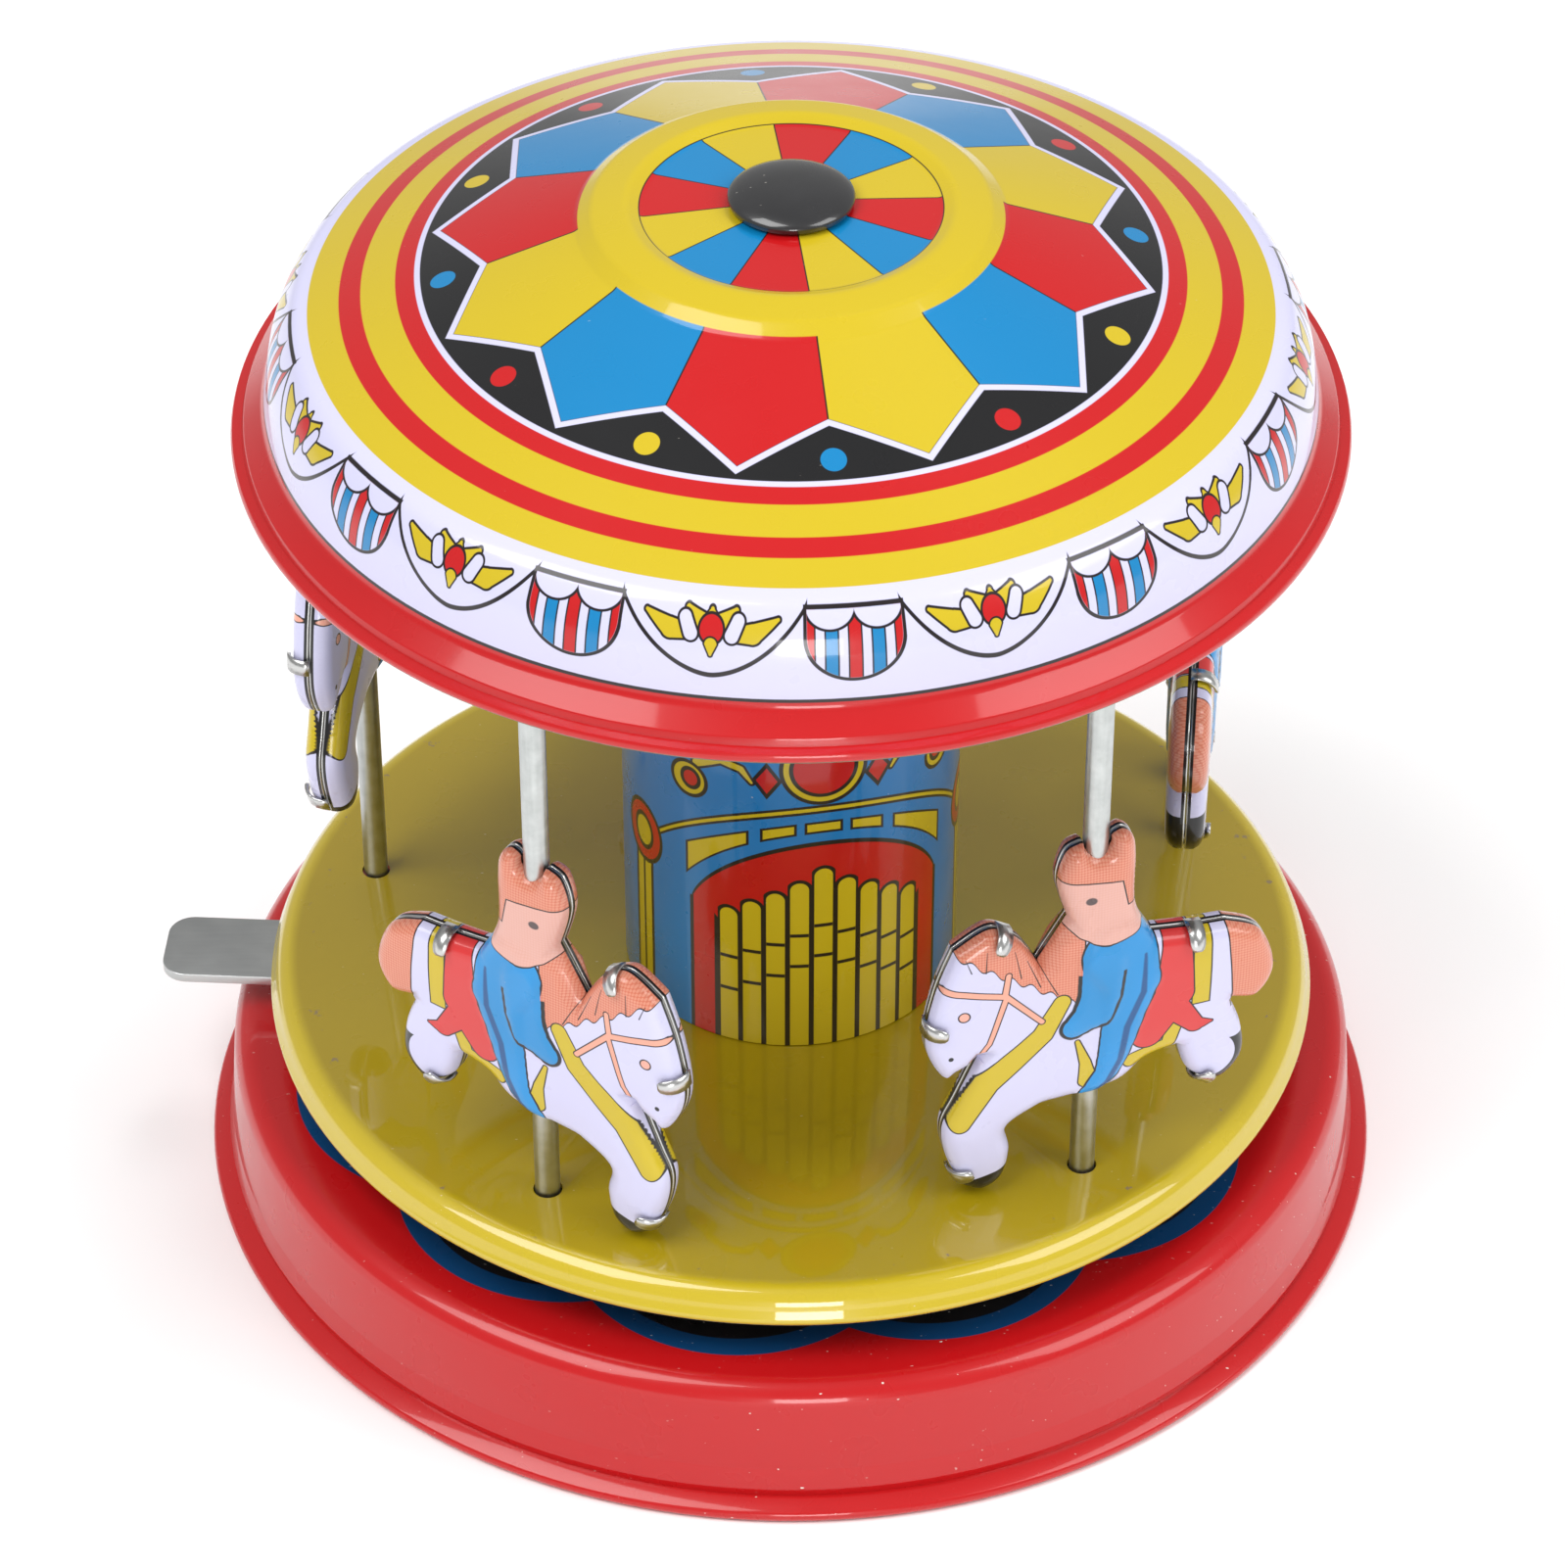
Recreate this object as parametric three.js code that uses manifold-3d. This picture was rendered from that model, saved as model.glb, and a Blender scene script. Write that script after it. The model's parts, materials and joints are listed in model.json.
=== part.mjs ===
// A wind-up tin carousel. A pressed base holds the clockwork. A spindle rises from it through a flat
// winding arm and carries the platform, the printed column, five riders on poles and the roof.
// Millimetres, +Z up. The origin is on the spindle's axis, in the plane that the toy stands on.
import * as THREE from "three";
import { mergeVertices } from "three/addons/utils/BufferGeometryUtils.js";
import Module from "manifold-3d";

const wasm = await Module();
wasm.setup();

// ---- Driving dimensions, in millimetres and degrees ----------------------------------------------

// Sheet metal and fits
const TIN = 0.5; // thickness of the pressed and printed sheets
const FIT = 0.1; // gap round a piece that is pressed, riveted or bent into its neighbour
const RUN = 0.3; // gap between pieces that turn past each other
const BEAD = 0.7; // radius of a rolled edge

// Clockwork, from the floor of the base upwards
const FLOOR_GAP = 1.5; // from the bottom plate to the lower movement plate
const FRAME_PLATE = 0.8; // thickness of the two movement plates
const WHEEL = 1.2; // thickness of a toothed wheel
const LAYER_GAP = 0.5; // height between one layer of wheels and the next
const SPRING_HEIGHT = 3.4; // width of the mainspring's strip
const RATCHET_THICK = 0.8; // thickness of the ratchet wheel and of its click
const HEADROOM = 0.7; // from the upper movement plate to the inside of the base's top

// Clockwork, across
const MODULE = 0.7; // pitch diameter of a wheel for each of its teeth
const DRIVE_TEETH = 16; // pinion on the spindle
const MIDDLE_WHEEL_TEETH = 40;
const MIDDLE_PINION_TEETH = 12;
const GREAT_TEETH = 44; // wheel that the mainspring drives
const GOVERNOR_TEETH = 10;
const MIDDLE_AZIMUTH = 60; // where the intermediate arbor stands round the spindle
const GOVERNOR_AZIMUTH = 150; // direction from the intermediate arbor to the governor
const FRAME_MARGIN = 4.5; // plate left outside the outermost bearing
const PILLAR_RADIUS = 1.6;
const PILLAR_INSET = 3; // from the edge of the movement plates to a pillar's centre
const PILLAR_AZIMUTHS = [0, 190, 270];
const ARBOR_RADIUS = 1;
const SPRING_STRIP = 0.35; // thickness of the mainspring's strip
const SPRING_TURNS = 4.5;
const RATCHET_TEETH = 12;
const RATCHET_DEPTH = 1.2; // height of a ratchet tooth
const RATCHET_LAND = 1.8; // ring of metal between the winding tube and the foot of the teeth
const FLY_RADIUS = 4.6; // reach of the governor's vanes

// Spindle and winding arm
const SPINDLE_RADIUS = 2;
const WINDING_TUBE_WALL = 1.25;
const ARM_CLEARANCE = 2.9; // from the base's top to the underside of the arm
const ARM_THICK = 1;
const ARM_WIDTH = 8.6;
const ARM_REACH = 60.1; // from the spindle's axis to the arm's tip
const ARM_CORNER = 1.6; // radius of the corners at the tip
const ARM_AZIMUTH = 176.7;

// Base
const BASE_RADIUS = 56; // over the rolled foot
const BASE_GROOVE = 1.8; // how far the groove above the foot stands in from the foot's edge
const BASE_WALL_INSET = 2.8; // how far the top of the wall stands in from the foot's edge
const BASE_SHOULDER = 2.2; // rounding between the wall and the top

// Carousel
const CAROUSEL_RADIUS = 49.5; // over the rolled edges of the platform and of the roof
const PLATFORM_DEPTH = 3.5; // from the platform's rolled edge to its top
const PLATFORM_SHOULDER = 2.1; // rounding between the platform's rim and its top
const PLATFORM_TO_ROOF = 60.5; // from the platform's top to the roof's rolled edge
const COLUMN_RADIUS = 15.65;
const POLE_RADIUS = 1.15;
const POLE_INSET = 8.25; // from the platform's edge to the pole circle
const POLE_COUNT = 5;
const FIRST_POLE_AZIMUTH = -122.2;

// Roof, as insets from its edge and heights above its rolled edge
const RIM_HEIGHT = 4.4; // from the rolled edge to the foot of the printed skirt
const RIM_FLARE = 3; // how far that foot stands in from the edge
const SKIRT_HEIGHT = 8.2; // from the foot of the skirt to the foot of the cone
const SKIRT_DEPTH = 4.4; // how far the skirt leans in over that height
const CONE_RISE = 8.6; // from the foot of the cone to the raised ring
const RING_OUTER = 18.45; // raised ring round the crown
const RING_INNER = 13.15;
const RING_CROWN = 0.7; // how far the raised ring stands out of the cone
const CROWN_RISE = 1.6; // from the raised ring's outer edge to the top of the sheet
const CAP_RADIUS = 5.55;
const CAP_HEIGHT = 1.8;

// Riders: two pressed halves closed round a pole
const RIDER_THICKNESS = 4.6; // across both halves
const RIDER_TIN = 0.35;
const RIDER_LIFTS = [0.4, 0.4, 0.4, 0.4, 15.7]; // from the platform to each figure's lowest point
const RIDER_NOTCH = 0.15; // extra radius of the notch that the pole enters by

// Facing of each rider, in the order of the poles: 1 runs counter-clockwise, -1 clockwise.
const RIDER_FACING = [1, -1, 1, 1, 1];
const RIDER_TURNS = [0, -24, -27, 0, 0]; // each figure has slipped round its pole by this much

// Facets round a full turn
const FINE = 40; // large pressings
const ROUND = 24; // column, collars and bores
const SMALL = 12; // pins, poles and arbors

// ---- Heights and places that follow from them ----------------------------------------------------

const FLOOR_TOP = TIN;
const LOWER_PLATE = FLOOR_TOP + FLOOR_GAP;
const DRIVE_LAYER = LOWER_PLATE + FRAME_PLATE + LAYER_GAP;
const GREAT_LAYER = DRIVE_LAYER + WHEEL + LAYER_GAP;
const SPRING_LAYER = GREAT_LAYER + WHEEL + LAYER_GAP;
const RATCHET_LAYER = SPRING_LAYER + SPRING_HEIGHT + LAYER_GAP;
const UPPER_PLATE = RATCHET_LAYER + RATCHET_THICK + LAYER_GAP;
const MOVEMENT_TOP = UPPER_PLATE + FRAME_PLATE;
const BASE_TOP = MOVEMENT_TOP + HEADROOM + TIN;

const ARM_UNDER = BASE_TOP + ARM_CLEARANCE;
const ARM_TOP = ARM_UNDER + ARM_THICK;
const TUBE_TOP = ARM_TOP + FIT;
const PLATFORM_EDGE = ARM_TOP + RUN;
const PLATFORM_TOP = PLATFORM_EDGE + PLATFORM_DEPTH;
const ROOF_EDGE = PLATFORM_TOP + PLATFORM_TO_ROOF;

const TUBE_BORE = SPINDLE_RADIUS + RUN;
const TUBE_RADIUS = TUBE_BORE + WINDING_TUBE_WALL;
const POLE_CIRCLE = CAROUSEL_RADIUS - POLE_INSET;
const MIDDLE_DISTANCE = ((DRIVE_TEETH + MIDDLE_WHEEL_TEETH) * MODULE) / 2;
const GOVERNOR_DISTANCE = ((MIDDLE_WHEEL_TEETH + GOVERNOR_TEETH) * MODULE) / 2;
const SPRING_INNER = TUBE_RADIUS + RUN;
const SPRING_POST_RADIUS = 0.8;
const SPRING_POST_CIRCLE = (GREAT_TEETH * MODULE) / 2 - 1.4;
const SPRING_OUTER = SPRING_POST_CIRCLE - SPRING_POST_RADIUS - RUN / 2;

const rad = THREE.MathUtils.degToRad;
const polar = (radius, azimuth) =>
  new THREE.Vector2(radius * Math.cos(rad(azimuth)), radius * Math.sin(rad(azimuth)));
const MIDDLE_AXIS = polar(MIDDLE_DISTANCE, MIDDLE_AZIMUTH);
const GOVERNOR_AXIS = polar(GOVERNOR_DISTANCE, GOVERNOR_AZIMUTH).add(MIDDLE_AXIS);
const FRAME_RADIUS = Math.max(MIDDLE_AXIS.length(), GOVERNOR_AXIS.length()) + FRAME_MARGIN;

// ---- Materials -----------------------------------------------------------------------------------

const finish = (color, roughness, metalness) =>
  new THREE.MeshStandardMaterial({ color, roughness, metalness });
const RED_TIN = finish(0xb3131a, 0.2, 0.1);
const YELLOW_TIN = finish(0xb89a2c, 0.2, 0.2);
const BLUE_TIN = finish(0x2a7ac0, 0.2, 0.1);
const WHITE_TIN = finish(0xdedcf0, 0.25, 0.1);
const BLACK_TIN = finish(0x101012, 0.15, 0);
const GALVANISED = finish(0xb9bcb8, 0.4, 1);
const STEEL = finish(0x8d9092, 0.35, 1);
const BLUED_STEEL = finish(0x30343f, 0.3, 1);
const BRASS = finish(0xb8923f, 0.3, 1);

// ---- Helpers -------------------------------------------------------------------------------------

const toy = new THREE.Group();

function add(name, geometry, material, parent = toy) {
  const mesh = new THREE.Mesh(geometry, material);
  mesh.name = name;
  parent.add(mesh);
  return mesh;
}

// Turned or spun form. The section runs counter-clockwise in (radius, height) and closes on itself.
function turned(section, facets) {
  const points = [...section, section[0]].map(([radius, height]) => new THREE.Vector2(radius, height));
  return new THREE.LatheGeometry(points, facets).rotateX(Math.PI / 2);
}

// Straight round bar or, with a bore, a tube or washer.
function round(radius, bottom, top, facets, bore = 0) {
  return turned([[bore, bottom], [radius, bottom], [radius, top], [bore, top]], facets);
}

// Flat piece cut from plate, standing from one height to another.
function plate(shape, bottom, top) {
  const options = { depth: top - bottom, bevelEnabled: false, curveSegments: ROUND / 2 };
  return new THREE.ExtrudeGeometry(shape, options).translate(0, 0, bottom);
}

function circlePath(x, y, radius) {
  return new THREE.Path().absarc(x, y, radius, 0, 2 * Math.PI, true);
}

function solidOf(geometry) {
  const bare = new THREE.BufferGeometry().setAttribute("position", geometry.getAttribute("position"));
  const merged = mergeVertices(geometry.index ? bare.setIndex(geometry.index) : bare, 1e-4);
  const vertProperties = merged.attributes.position.array;
  const triVerts = new Uint32Array(merged.index.array);
  return new wasm.Manifold(new wasm.Mesh({ numProp: 3, vertProperties, triVerts }));
}

function geometryOf(solid) {
  const mesh = solid.getMesh();
  return new THREE.BufferGeometry()
    .setAttribute("position", new THREE.BufferAttribute(mesh.vertProperties, 3))
    .setIndex(new THREE.BufferAttribute(mesh.triVerts, 1));
}

const joined = (first, ...others) =>
  geometryOf(others.reduce((solid, other) => solid.add(solidOf(other)), solidOf(first)));
const cut = (blank, ...tools) =>
  geometryOf(tools.reduce((solid, tool) => solid.subtract(solidOf(tool)), solidOf(blank)));

// A line of [x, y] points moved to its left by a distance, with mitred corners.
function moved(points, distance, closed = false) {
  const count = points.length;
  const left = (from, to) => {
    const length = Math.hypot(to[0] - from[0], to[1] - from[1]);
    return [(from[1] - to[1]) / length, (to[0] - from[0]) / length];
  };
  return points.map((point, i) => {
    const before = closed || i > 0 ? points[(i + count - 1) % count] : null;
    const after = closed || i < count - 1 ? points[(i + 1) % count] : null;
    const into = before ? left(before, point) : left(point, after);
    const out = after ? left(point, after) : into;
    const mitre = distance / (1 + into[0] * out[0] + into[1] * out[1]);
    return [point[0] + (into[0] + out[0]) * mitre, point[1] + (into[1] + out[1]) * mitre];
  });
}

// Points on an arc, as [x, y], between two angles in degrees.
function arc(x, y, radius, start, end, steps) {
  return Array.from({ length: steps + 1 }, (_, i) => {
    const at = polar(radius, start + ((end - start) * i) / steps);
    return [x + at.x, y + at.y];
  });
}

// Section of a pressed shell: round its rolled edge, along the outside to the middle, and back inside.
function pressed(edge, outside, thickness = TIN) {
  return [...edge, ...outside, ...moved(outside, thickness).reverse()];
}

// ---- Base ----------------------------------------------------------------------------------------

const TUBE_HOLE = TUBE_RADIUS + RUN;
const wallRadius = BASE_RADIUS - BASE_WALL_INSET;
const baseOutside = [
  [BASE_RADIUS - BASE_GROOVE, BEAD * 4],
  [BASE_RADIUS - BASE_GROOVE - 0.4, BASE_TOP * 0.45],
  ...arc(wallRadius - BASE_SHOULDER, BASE_TOP - BASE_SHOULDER, BASE_SHOULDER, 0, 90, 3),
  [TUBE_HOLE, BASE_TOP],
];
const footEdge = arc(BASE_RADIUS - BEAD, BEAD, BEAD, 180, 405, 5);
add("base_pan", turned(pressed(footEdge, baseOutside), FINE), RED_TIN);

const FLOOR_RADIUS = BASE_RADIUS - 2 * BEAD - FIT;
add("bottom_plate", round(FLOOR_RADIUS, 0, FLOOR_TOP, FINE), GALVANISED);

// ---- Movement frame ------------------------------------------------------------------------------

const pillarCircle = FRAME_RADIUS - PILLAR_INSET;

// One plate of the movement: a disc with a bearing for each arbor and a hole for each pillar's rivet.
function framePlate(bottom, centreBore) {
  const disc = new THREE.Shape().absarc(0, 0, FRAME_RADIUS, 0, 2 * Math.PI);
  disc.holes.push(circlePath(0, 0, centreBore));
  for (const axis of [MIDDLE_AXIS, GOVERNOR_AXIS]) {
    disc.holes.push(circlePath(axis.x, axis.y, ARBOR_RADIUS + RUN / 2));
  }
  return plate(disc, bottom, bottom + FRAME_PLATE);
}

add("lower_movement_plate", framePlate(LOWER_PLATE, SPINDLE_RADIUS + RUN), STEEL);
add("upper_movement_plate", framePlate(UPPER_PLATE, TUBE_HOLE), STEEL);

PILLAR_AZIMUTHS.forEach((azimuth, i) => {
  const at = polar(pillarCircle, azimuth);
  const bottom = LOWER_PLATE + FRAME_PLATE + FIT;
  const pillar = add(`movement_pillar_${i + 1}`, round(PILLAR_RADIUS, bottom, UPPER_PLATE - FIT, SMALL), STEEL);
  pillar.position.set(at.x, at.y, 0);
  const spacer = add(
    `movement_spacer_${i + 1}`,
    round(PILLAR_RADIUS, MOVEMENT_TOP + FIT, BASE_TOP - TIN - FIT, SMALL),
    STEEL,
  );
  spacer.position.copy(pillar.position);
});

// ---- Toothed wheels ------------------------------------------------------------------------------

// Straight-flanked teeth, narrower than half the pitch, so that a pair runs with backlash.
const TOOTH = { addendum: 0.75, dedendum: 1.05, rootShare: 0.27, tipShare: 0.11 };

function toothedWheel(teeth, bore, phase, bottom, thickness) {
  const pitchRadius = (teeth * MODULE) / 2;
  const root = pitchRadius - TOOTH.dedendum * MODULE;
  const tip = pitchRadius + TOOTH.addendum * MODULE;
  const pitch = 360 / teeth;
  const outline = Array.from({ length: teeth }, (_, i) => {
    const centre = phase + i * pitch;
    return [
      polar(root, centre - TOOTH.rootShare * pitch),
      polar(tip, centre - TOOTH.tipShare * pitch),
      polar(tip, centre + TOOTH.tipShare * pitch),
      polar(root, centre + TOOTH.rootShare * pitch),
    ];
  }).flat();
  const shape = new THREE.Shape(outline);
  shape.holes.push(circlePath(0, 0, bore));
  return plate(shape, bottom, bottom + thickness);
}

// Phase of a wheel that meshes with another one standing in a given direction from it.
function meshingPhase(driverPhase, driverTeeth, direction, teeth) {
  const offset = (driverPhase - direction) % (360 / driverTeeth);
  return direction + 180 - (offset * driverTeeth) / teeth + 180 / teeth;
}

const arborBore = ARBOR_RADIUS + FIT;
const middleWheelPhase = meshingPhase(MIDDLE_AZIMUTH, DRIVE_TEETH, MIDDLE_AZIMUTH, MIDDLE_WHEEL_TEETH);
const middlePinionPhase = meshingPhase(MIDDLE_AZIMUTH, GREAT_TEETH, MIDDLE_AZIMUTH, MIDDLE_PINION_TEETH);
const governorPhase = meshingPhase(middleWheelPhase, MIDDLE_WHEEL_TEETH, GOVERNOR_AZIMUTH, GOVERNOR_TEETH);

add(
  "drive_pinion",
  toothedWheel(DRIVE_TEETH, SPINDLE_RADIUS + FIT, MIDDLE_AZIMUTH, DRIVE_LAYER, WHEEL),
  BRASS,
);
const greatDisc = toothedWheel(GREAT_TEETH, SPINDLE_RADIUS + RUN, MIDDLE_AZIMUTH, GREAT_LAYER, WHEEL);
const springPost = round(SPRING_POST_RADIUS, GREAT_LAYER + WHEEL / 2, SPRING_LAYER + SPRING_HEIGHT, SMALL);
springPost.translate(-SPRING_POST_CIRCLE, 0, 0);
add("great_wheel", joined(greatDisc, springPost), BRASS);

const middle = new THREE.Group();
middle.position.set(MIDDLE_AXIS.x, MIDDLE_AXIS.y, 0);
toy.add(middle);
const arborBar = round(ARBOR_RADIUS, LOWER_PLATE, MOVEMENT_TOP, SMALL);
add("intermediate_arbor", arborBar, STEEL, middle);
add(
  "intermediate_wheel",
  toothedWheel(MIDDLE_WHEEL_TEETH, arborBore, middleWheelPhase, DRIVE_LAYER, WHEEL),
  BRASS,
  middle,
);
add(
  "intermediate_pinion",
  toothedWheel(MIDDLE_PINION_TEETH, arborBore, middlePinionPhase, GREAT_LAYER, WHEEL),
  STEEL,
  middle,
);

const governor = new THREE.Group();
governor.position.set(GOVERNOR_AXIS.x, GOVERNOR_AXIS.y, 0);
toy.add(governor);
add("governor_arbor", arborBar.clone(), STEEL, governor);
add(
  "governor_pinion",
  toothedWheel(GOVERNOR_TEETH, arborBore, governorPhase, DRIVE_LAYER, WHEEL),
  STEEL,
  governor,
);

// Two flat vanes on a hub: the air drags on them and steadies the carousel's speed.
const FLY_VANE = 0.8;
const flyHub = round(ARBOR_RADIUS + 0.8, GREAT_LAYER, RATCHET_LAYER, SMALL);
const flyVanes = new THREE.BoxGeometry(2 * FLY_RADIUS, FLY_VANE, RATCHET_LAYER - GREAT_LAYER);
flyVanes.translate(0, 0, (RATCHET_LAYER + GREAT_LAYER) / 2);
const flyBore = round(arborBore, GREAT_LAYER - 1, RATCHET_LAYER + 1, SMALL);
add("governor_fly", cut(joined(flyHub, flyVanes), flyBore), STEEL, governor);

// ---- Winding: arm, tube, mainspring, ratchet and click -------------------------------------------

add("winding_tube", round(TUBE_RADIUS, SPRING_LAYER, TUBE_TOP, ROUND, TUBE_BORE), STEEL);

const tubeSeat = TUBE_RADIUS + FIT;
const armHub = tubeSeat + 3;
const armSide = Math.sqrt(armHub ** 2 - (ARM_WIDTH / 2) ** 2);
const armShape = new THREE.Shape();
armShape.moveTo(armSide, -ARM_WIDTH / 2);
armShape.lineTo(ARM_REACH - ARM_CORNER, -ARM_WIDTH / 2);
armShape.absarc(ARM_REACH - ARM_CORNER, -ARM_WIDTH / 2 + ARM_CORNER, ARM_CORNER, -Math.PI / 2, 0);
armShape.absarc(ARM_REACH - ARM_CORNER, ARM_WIDTH / 2 - ARM_CORNER, ARM_CORNER, 0, Math.PI / 2);
armShape.lineTo(armSide, ARM_WIDTH / 2);
const armSpread = Math.asin(ARM_WIDTH / 2 / armHub);
armShape.absarc(0, 0, armHub, armSpread, -armSpread + 2 * Math.PI);
armShape.holes.push(circlePath(0, 0, tubeSeat));
const arm = add("winding_arm", plate(armShape, ARM_UNDER, ARM_TOP), GALVANISED);
arm.rotation.z = rad(ARM_AZIMUTH);

// The mainspring lies in even turns from the tube to just inside the great wheel's post.
function springShape() {
  const steps = Math.round(SPRING_TURNS * 20);
  const travel = SPRING_OUTER - SPRING_INNER - SPRING_STRIP;
  const inner = Array.from({ length: steps + 1 }, (_, i) =>
    polar(SPRING_INNER + (travel * i) / steps, (360 * SPRING_TURNS * i) / steps),
  );
  const outer = inner.map((point) => point.clone().setLength(point.length() + SPRING_STRIP));
  return new THREE.Shape([...inner.reverse(), ...outer]);
}
add("mainspring", plate(springShape(), SPRING_LAYER, SPRING_LAYER + SPRING_HEIGHT), BLUED_STEEL);

// Saw teeth: each rises on a radial face and falls away to the foot of the next.
const ratchetRoot = TUBE_RADIUS + FIT + RATCHET_LAND;
const ratchetTip = ratchetRoot + RATCHET_DEPTH;
const ratchetPitch = 360 / RATCHET_TEETH;
const ratchetShape = new THREE.Shape(
  Array.from({ length: RATCHET_TEETH }, (_, i) => [
    polar(ratchetRoot, i * ratchetPitch),
    polar(ratchetTip, i * ratchetPitch),
  ]).flat(),
);
ratchetShape.holes.push(circlePath(0, 0, tubeSeat));
add(
  "ratchet_wheel",
  plate(ratchetShape, RATCHET_LAYER, RATCHET_LAYER + RATCHET_THICK),
  STEEL,
);

// The click's own frame stands on a tooth's radial face: x runs along the tooth circle, y outwards.
const CLICK_AZIMUTH = -60;
const CLICK_REACH = 8; // from the tooth's face to the click's pivot
const CLICK_EYE = 1.6; // radius of the click round its pivot
const CLICK_STUD = 0.6; // radius of the pivot
const clickPivot = new THREE.Vector2(-CLICK_REACH, ratchetTip + CLICK_EYE - RUN);
const clickFrame = new THREE.Group();
clickFrame.rotation.z = rad(CLICK_AZIMUTH - 90);
clickFrame.scale.x = -1;
toy.add(clickFrame);

const clickShape = new THREE.Shape();
clickShape.moveTo(-RUN, ratchetRoot + RUN);
clickShape.lineTo(-RUN, ratchetTip + RUN);
clickShape.lineTo(clickPivot.x, clickPivot.y + CLICK_EYE);
clickShape.absarc(clickPivot.x, clickPivot.y, CLICK_EYE, Math.PI / 2, (3 * Math.PI) / 2);
clickShape.lineTo(-RUN - 0.7, ratchetRoot + RATCHET_DEPTH / 2 + RUN / 2);
clickShape.holes.push(circlePath(clickPivot.x, clickPivot.y, CLICK_STUD + RUN / 2));
add("click", plate(clickShape, RATCHET_LAYER, RATCHET_LAYER + RATCHET_THICK), STEEL, clickFrame);

const stud = add(
  "click_stud",
  round(CLICK_STUD, RATCHET_LAYER - RUN, UPPER_PLATE - FIT, SMALL),
  STEEL,
  clickFrame,
);
stud.position.set(clickPivot.x, clickPivot.y, 0);

// A leaf from its foot under the upper plate to the back of the click, clear of it as it lifts.
const LEAF = 0.3; // thickness of the click's leaf spring
const LEAF_FOOT = 1; // radius of its riveted foot
const leafTip = [clickPivot.x + 2.5, clickPivot.y + CLICK_EYE + 0.4];
const leafFoot = [clickPivot.x - 5, clickPivot.y + CLICK_EYE + 2];
const leafLine = [leafFoot, [clickPivot.x, clickPivot.y + CLICK_EYE + 0.7], leafTip];
const leafShape = new THREE.Shape(
  [...leafLine, ...moved(leafLine, LEAF).reverse()].map(([x, y]) => new THREE.Vector2(x, y)),
);
const leafBlade = plate(leafShape, RATCHET_LAYER, RATCHET_LAYER + RATCHET_THICK);
const footPin = round(LEAF_FOOT, RATCHET_LAYER, UPPER_PLATE - FIT, SMALL);
footPin.translate(leafFoot[0], leafFoot[1], 0);
add("click_spring", joined(leafBlade, footPin), BLUED_STEEL, clickFrame);

// ---- Spindle, hub, platform, column and poles ----------------------------------------------------

const HUB_RADIUS = 6;
const HUB_GAP = RUN + FIT; // from the winding tube's rivet to the hub
add(
  "platform_hub",
  round(HUB_RADIUS, TUBE_TOP + HUB_GAP, PLATFORM_TOP - TIN - FIT, ROUND, SPINDLE_RADIUS + FIT),
  STEEL,
);

const poleAzimuths = Array.from({ length: POLE_COUNT }, (_, i) => FIRST_POLE_AZIMUTH + (i * 360) / POLE_COUNT);
const platformOutside = [
  ...arc(
    CAROUSEL_RADIUS - PLATFORM_SHOULDER - 0.2,
    PLATFORM_TOP - PLATFORM_SHOULDER,
    PLATFORM_SHOULDER,
    20,
    90,
    3,
  ),
  [SPINDLE_RADIUS + FIT, PLATFORM_TOP],
];
const platformEdge = arc(CAROUSEL_RADIUS - BEAD, PLATFORM_EDGE + BEAD, BEAD, 180, 390, 5);
const poleHoles = poleAzimuths.map((azimuth) => {
  const at = polar(POLE_CIRCLE, azimuth);
  const drill = round(POLE_RADIUS + FIT, PLATFORM_TOP - 2 * TIN, PLATFORM_TOP + TIN, SMALL);
  return drill.translate(at.x, at.y, 0);
});
const platformPan = turned(pressed(platformEdge, platformOutside), FINE);
add("platform", cut(platformPan, ...poleHoles), YELLOW_TIN);

// Roof outside, from the foot of its flared rim to the hole at the crown
const rimFoot = CAROUSEL_RADIUS - BEAD * 0.6;
const skirtFoot = [CAROUSEL_RADIUS - RIM_FLARE, ROOF_EDGE + RIM_HEIGHT];
const coneFoot = [skirtFoot[0] - SKIRT_DEPTH, skirtFoot[1] + SKIRT_HEIGHT];
const ringFoot = coneFoot[1] + CONE_RISE;
const ROOF_TOP = ringFoot + CROWN_RISE;
const ringMiddle = (RING_OUTER + RING_INNER) / 2;
const roofOutside = [
  [rimFoot, ROOF_EDGE + 1.8 * BEAD],
  skirtFoot,
  [skirtFoot[0] - SKIRT_DEPTH * 0.2, skirtFoot[1] + SKIRT_HEIGHT * 0.5],
  [skirtFoot[0] - SKIRT_DEPTH * 0.5, skirtFoot[1] + SKIRT_HEIGHT * 0.82],
  coneFoot,
  [RING_OUTER, ringFoot],
  [ringMiddle, (ringFoot + ROOF_TOP) / 2 + RING_CROWN],
  [RING_INNER, ringFoot + CROWN_RISE * 0.6],
  [SPINDLE_RADIUS + FIT, ROOF_TOP],
];
const roofEdge = arc(CAROUSEL_RADIUS - BEAD, ROOF_EDGE + BEAD, BEAD, 180, 400, 5);
const roofInside = moved(roofOutside, TIN);
add("roof", turned(pressed(roofEdge, roofOutside), FINE), RED_TIN);

// Height of the roof's inner skin over a given radius.
function underRoof(radius) {
  const i = roofInside.findIndex(([r]) => r < radius);
  const [outer, inner] = [roofInside[i - 1], roofInside[i]];
  const share = (outer[0] - radius) / (outer[0] - inner[0]);
  return outer[1] + (inner[1] - outer[1]) * share;
}

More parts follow.
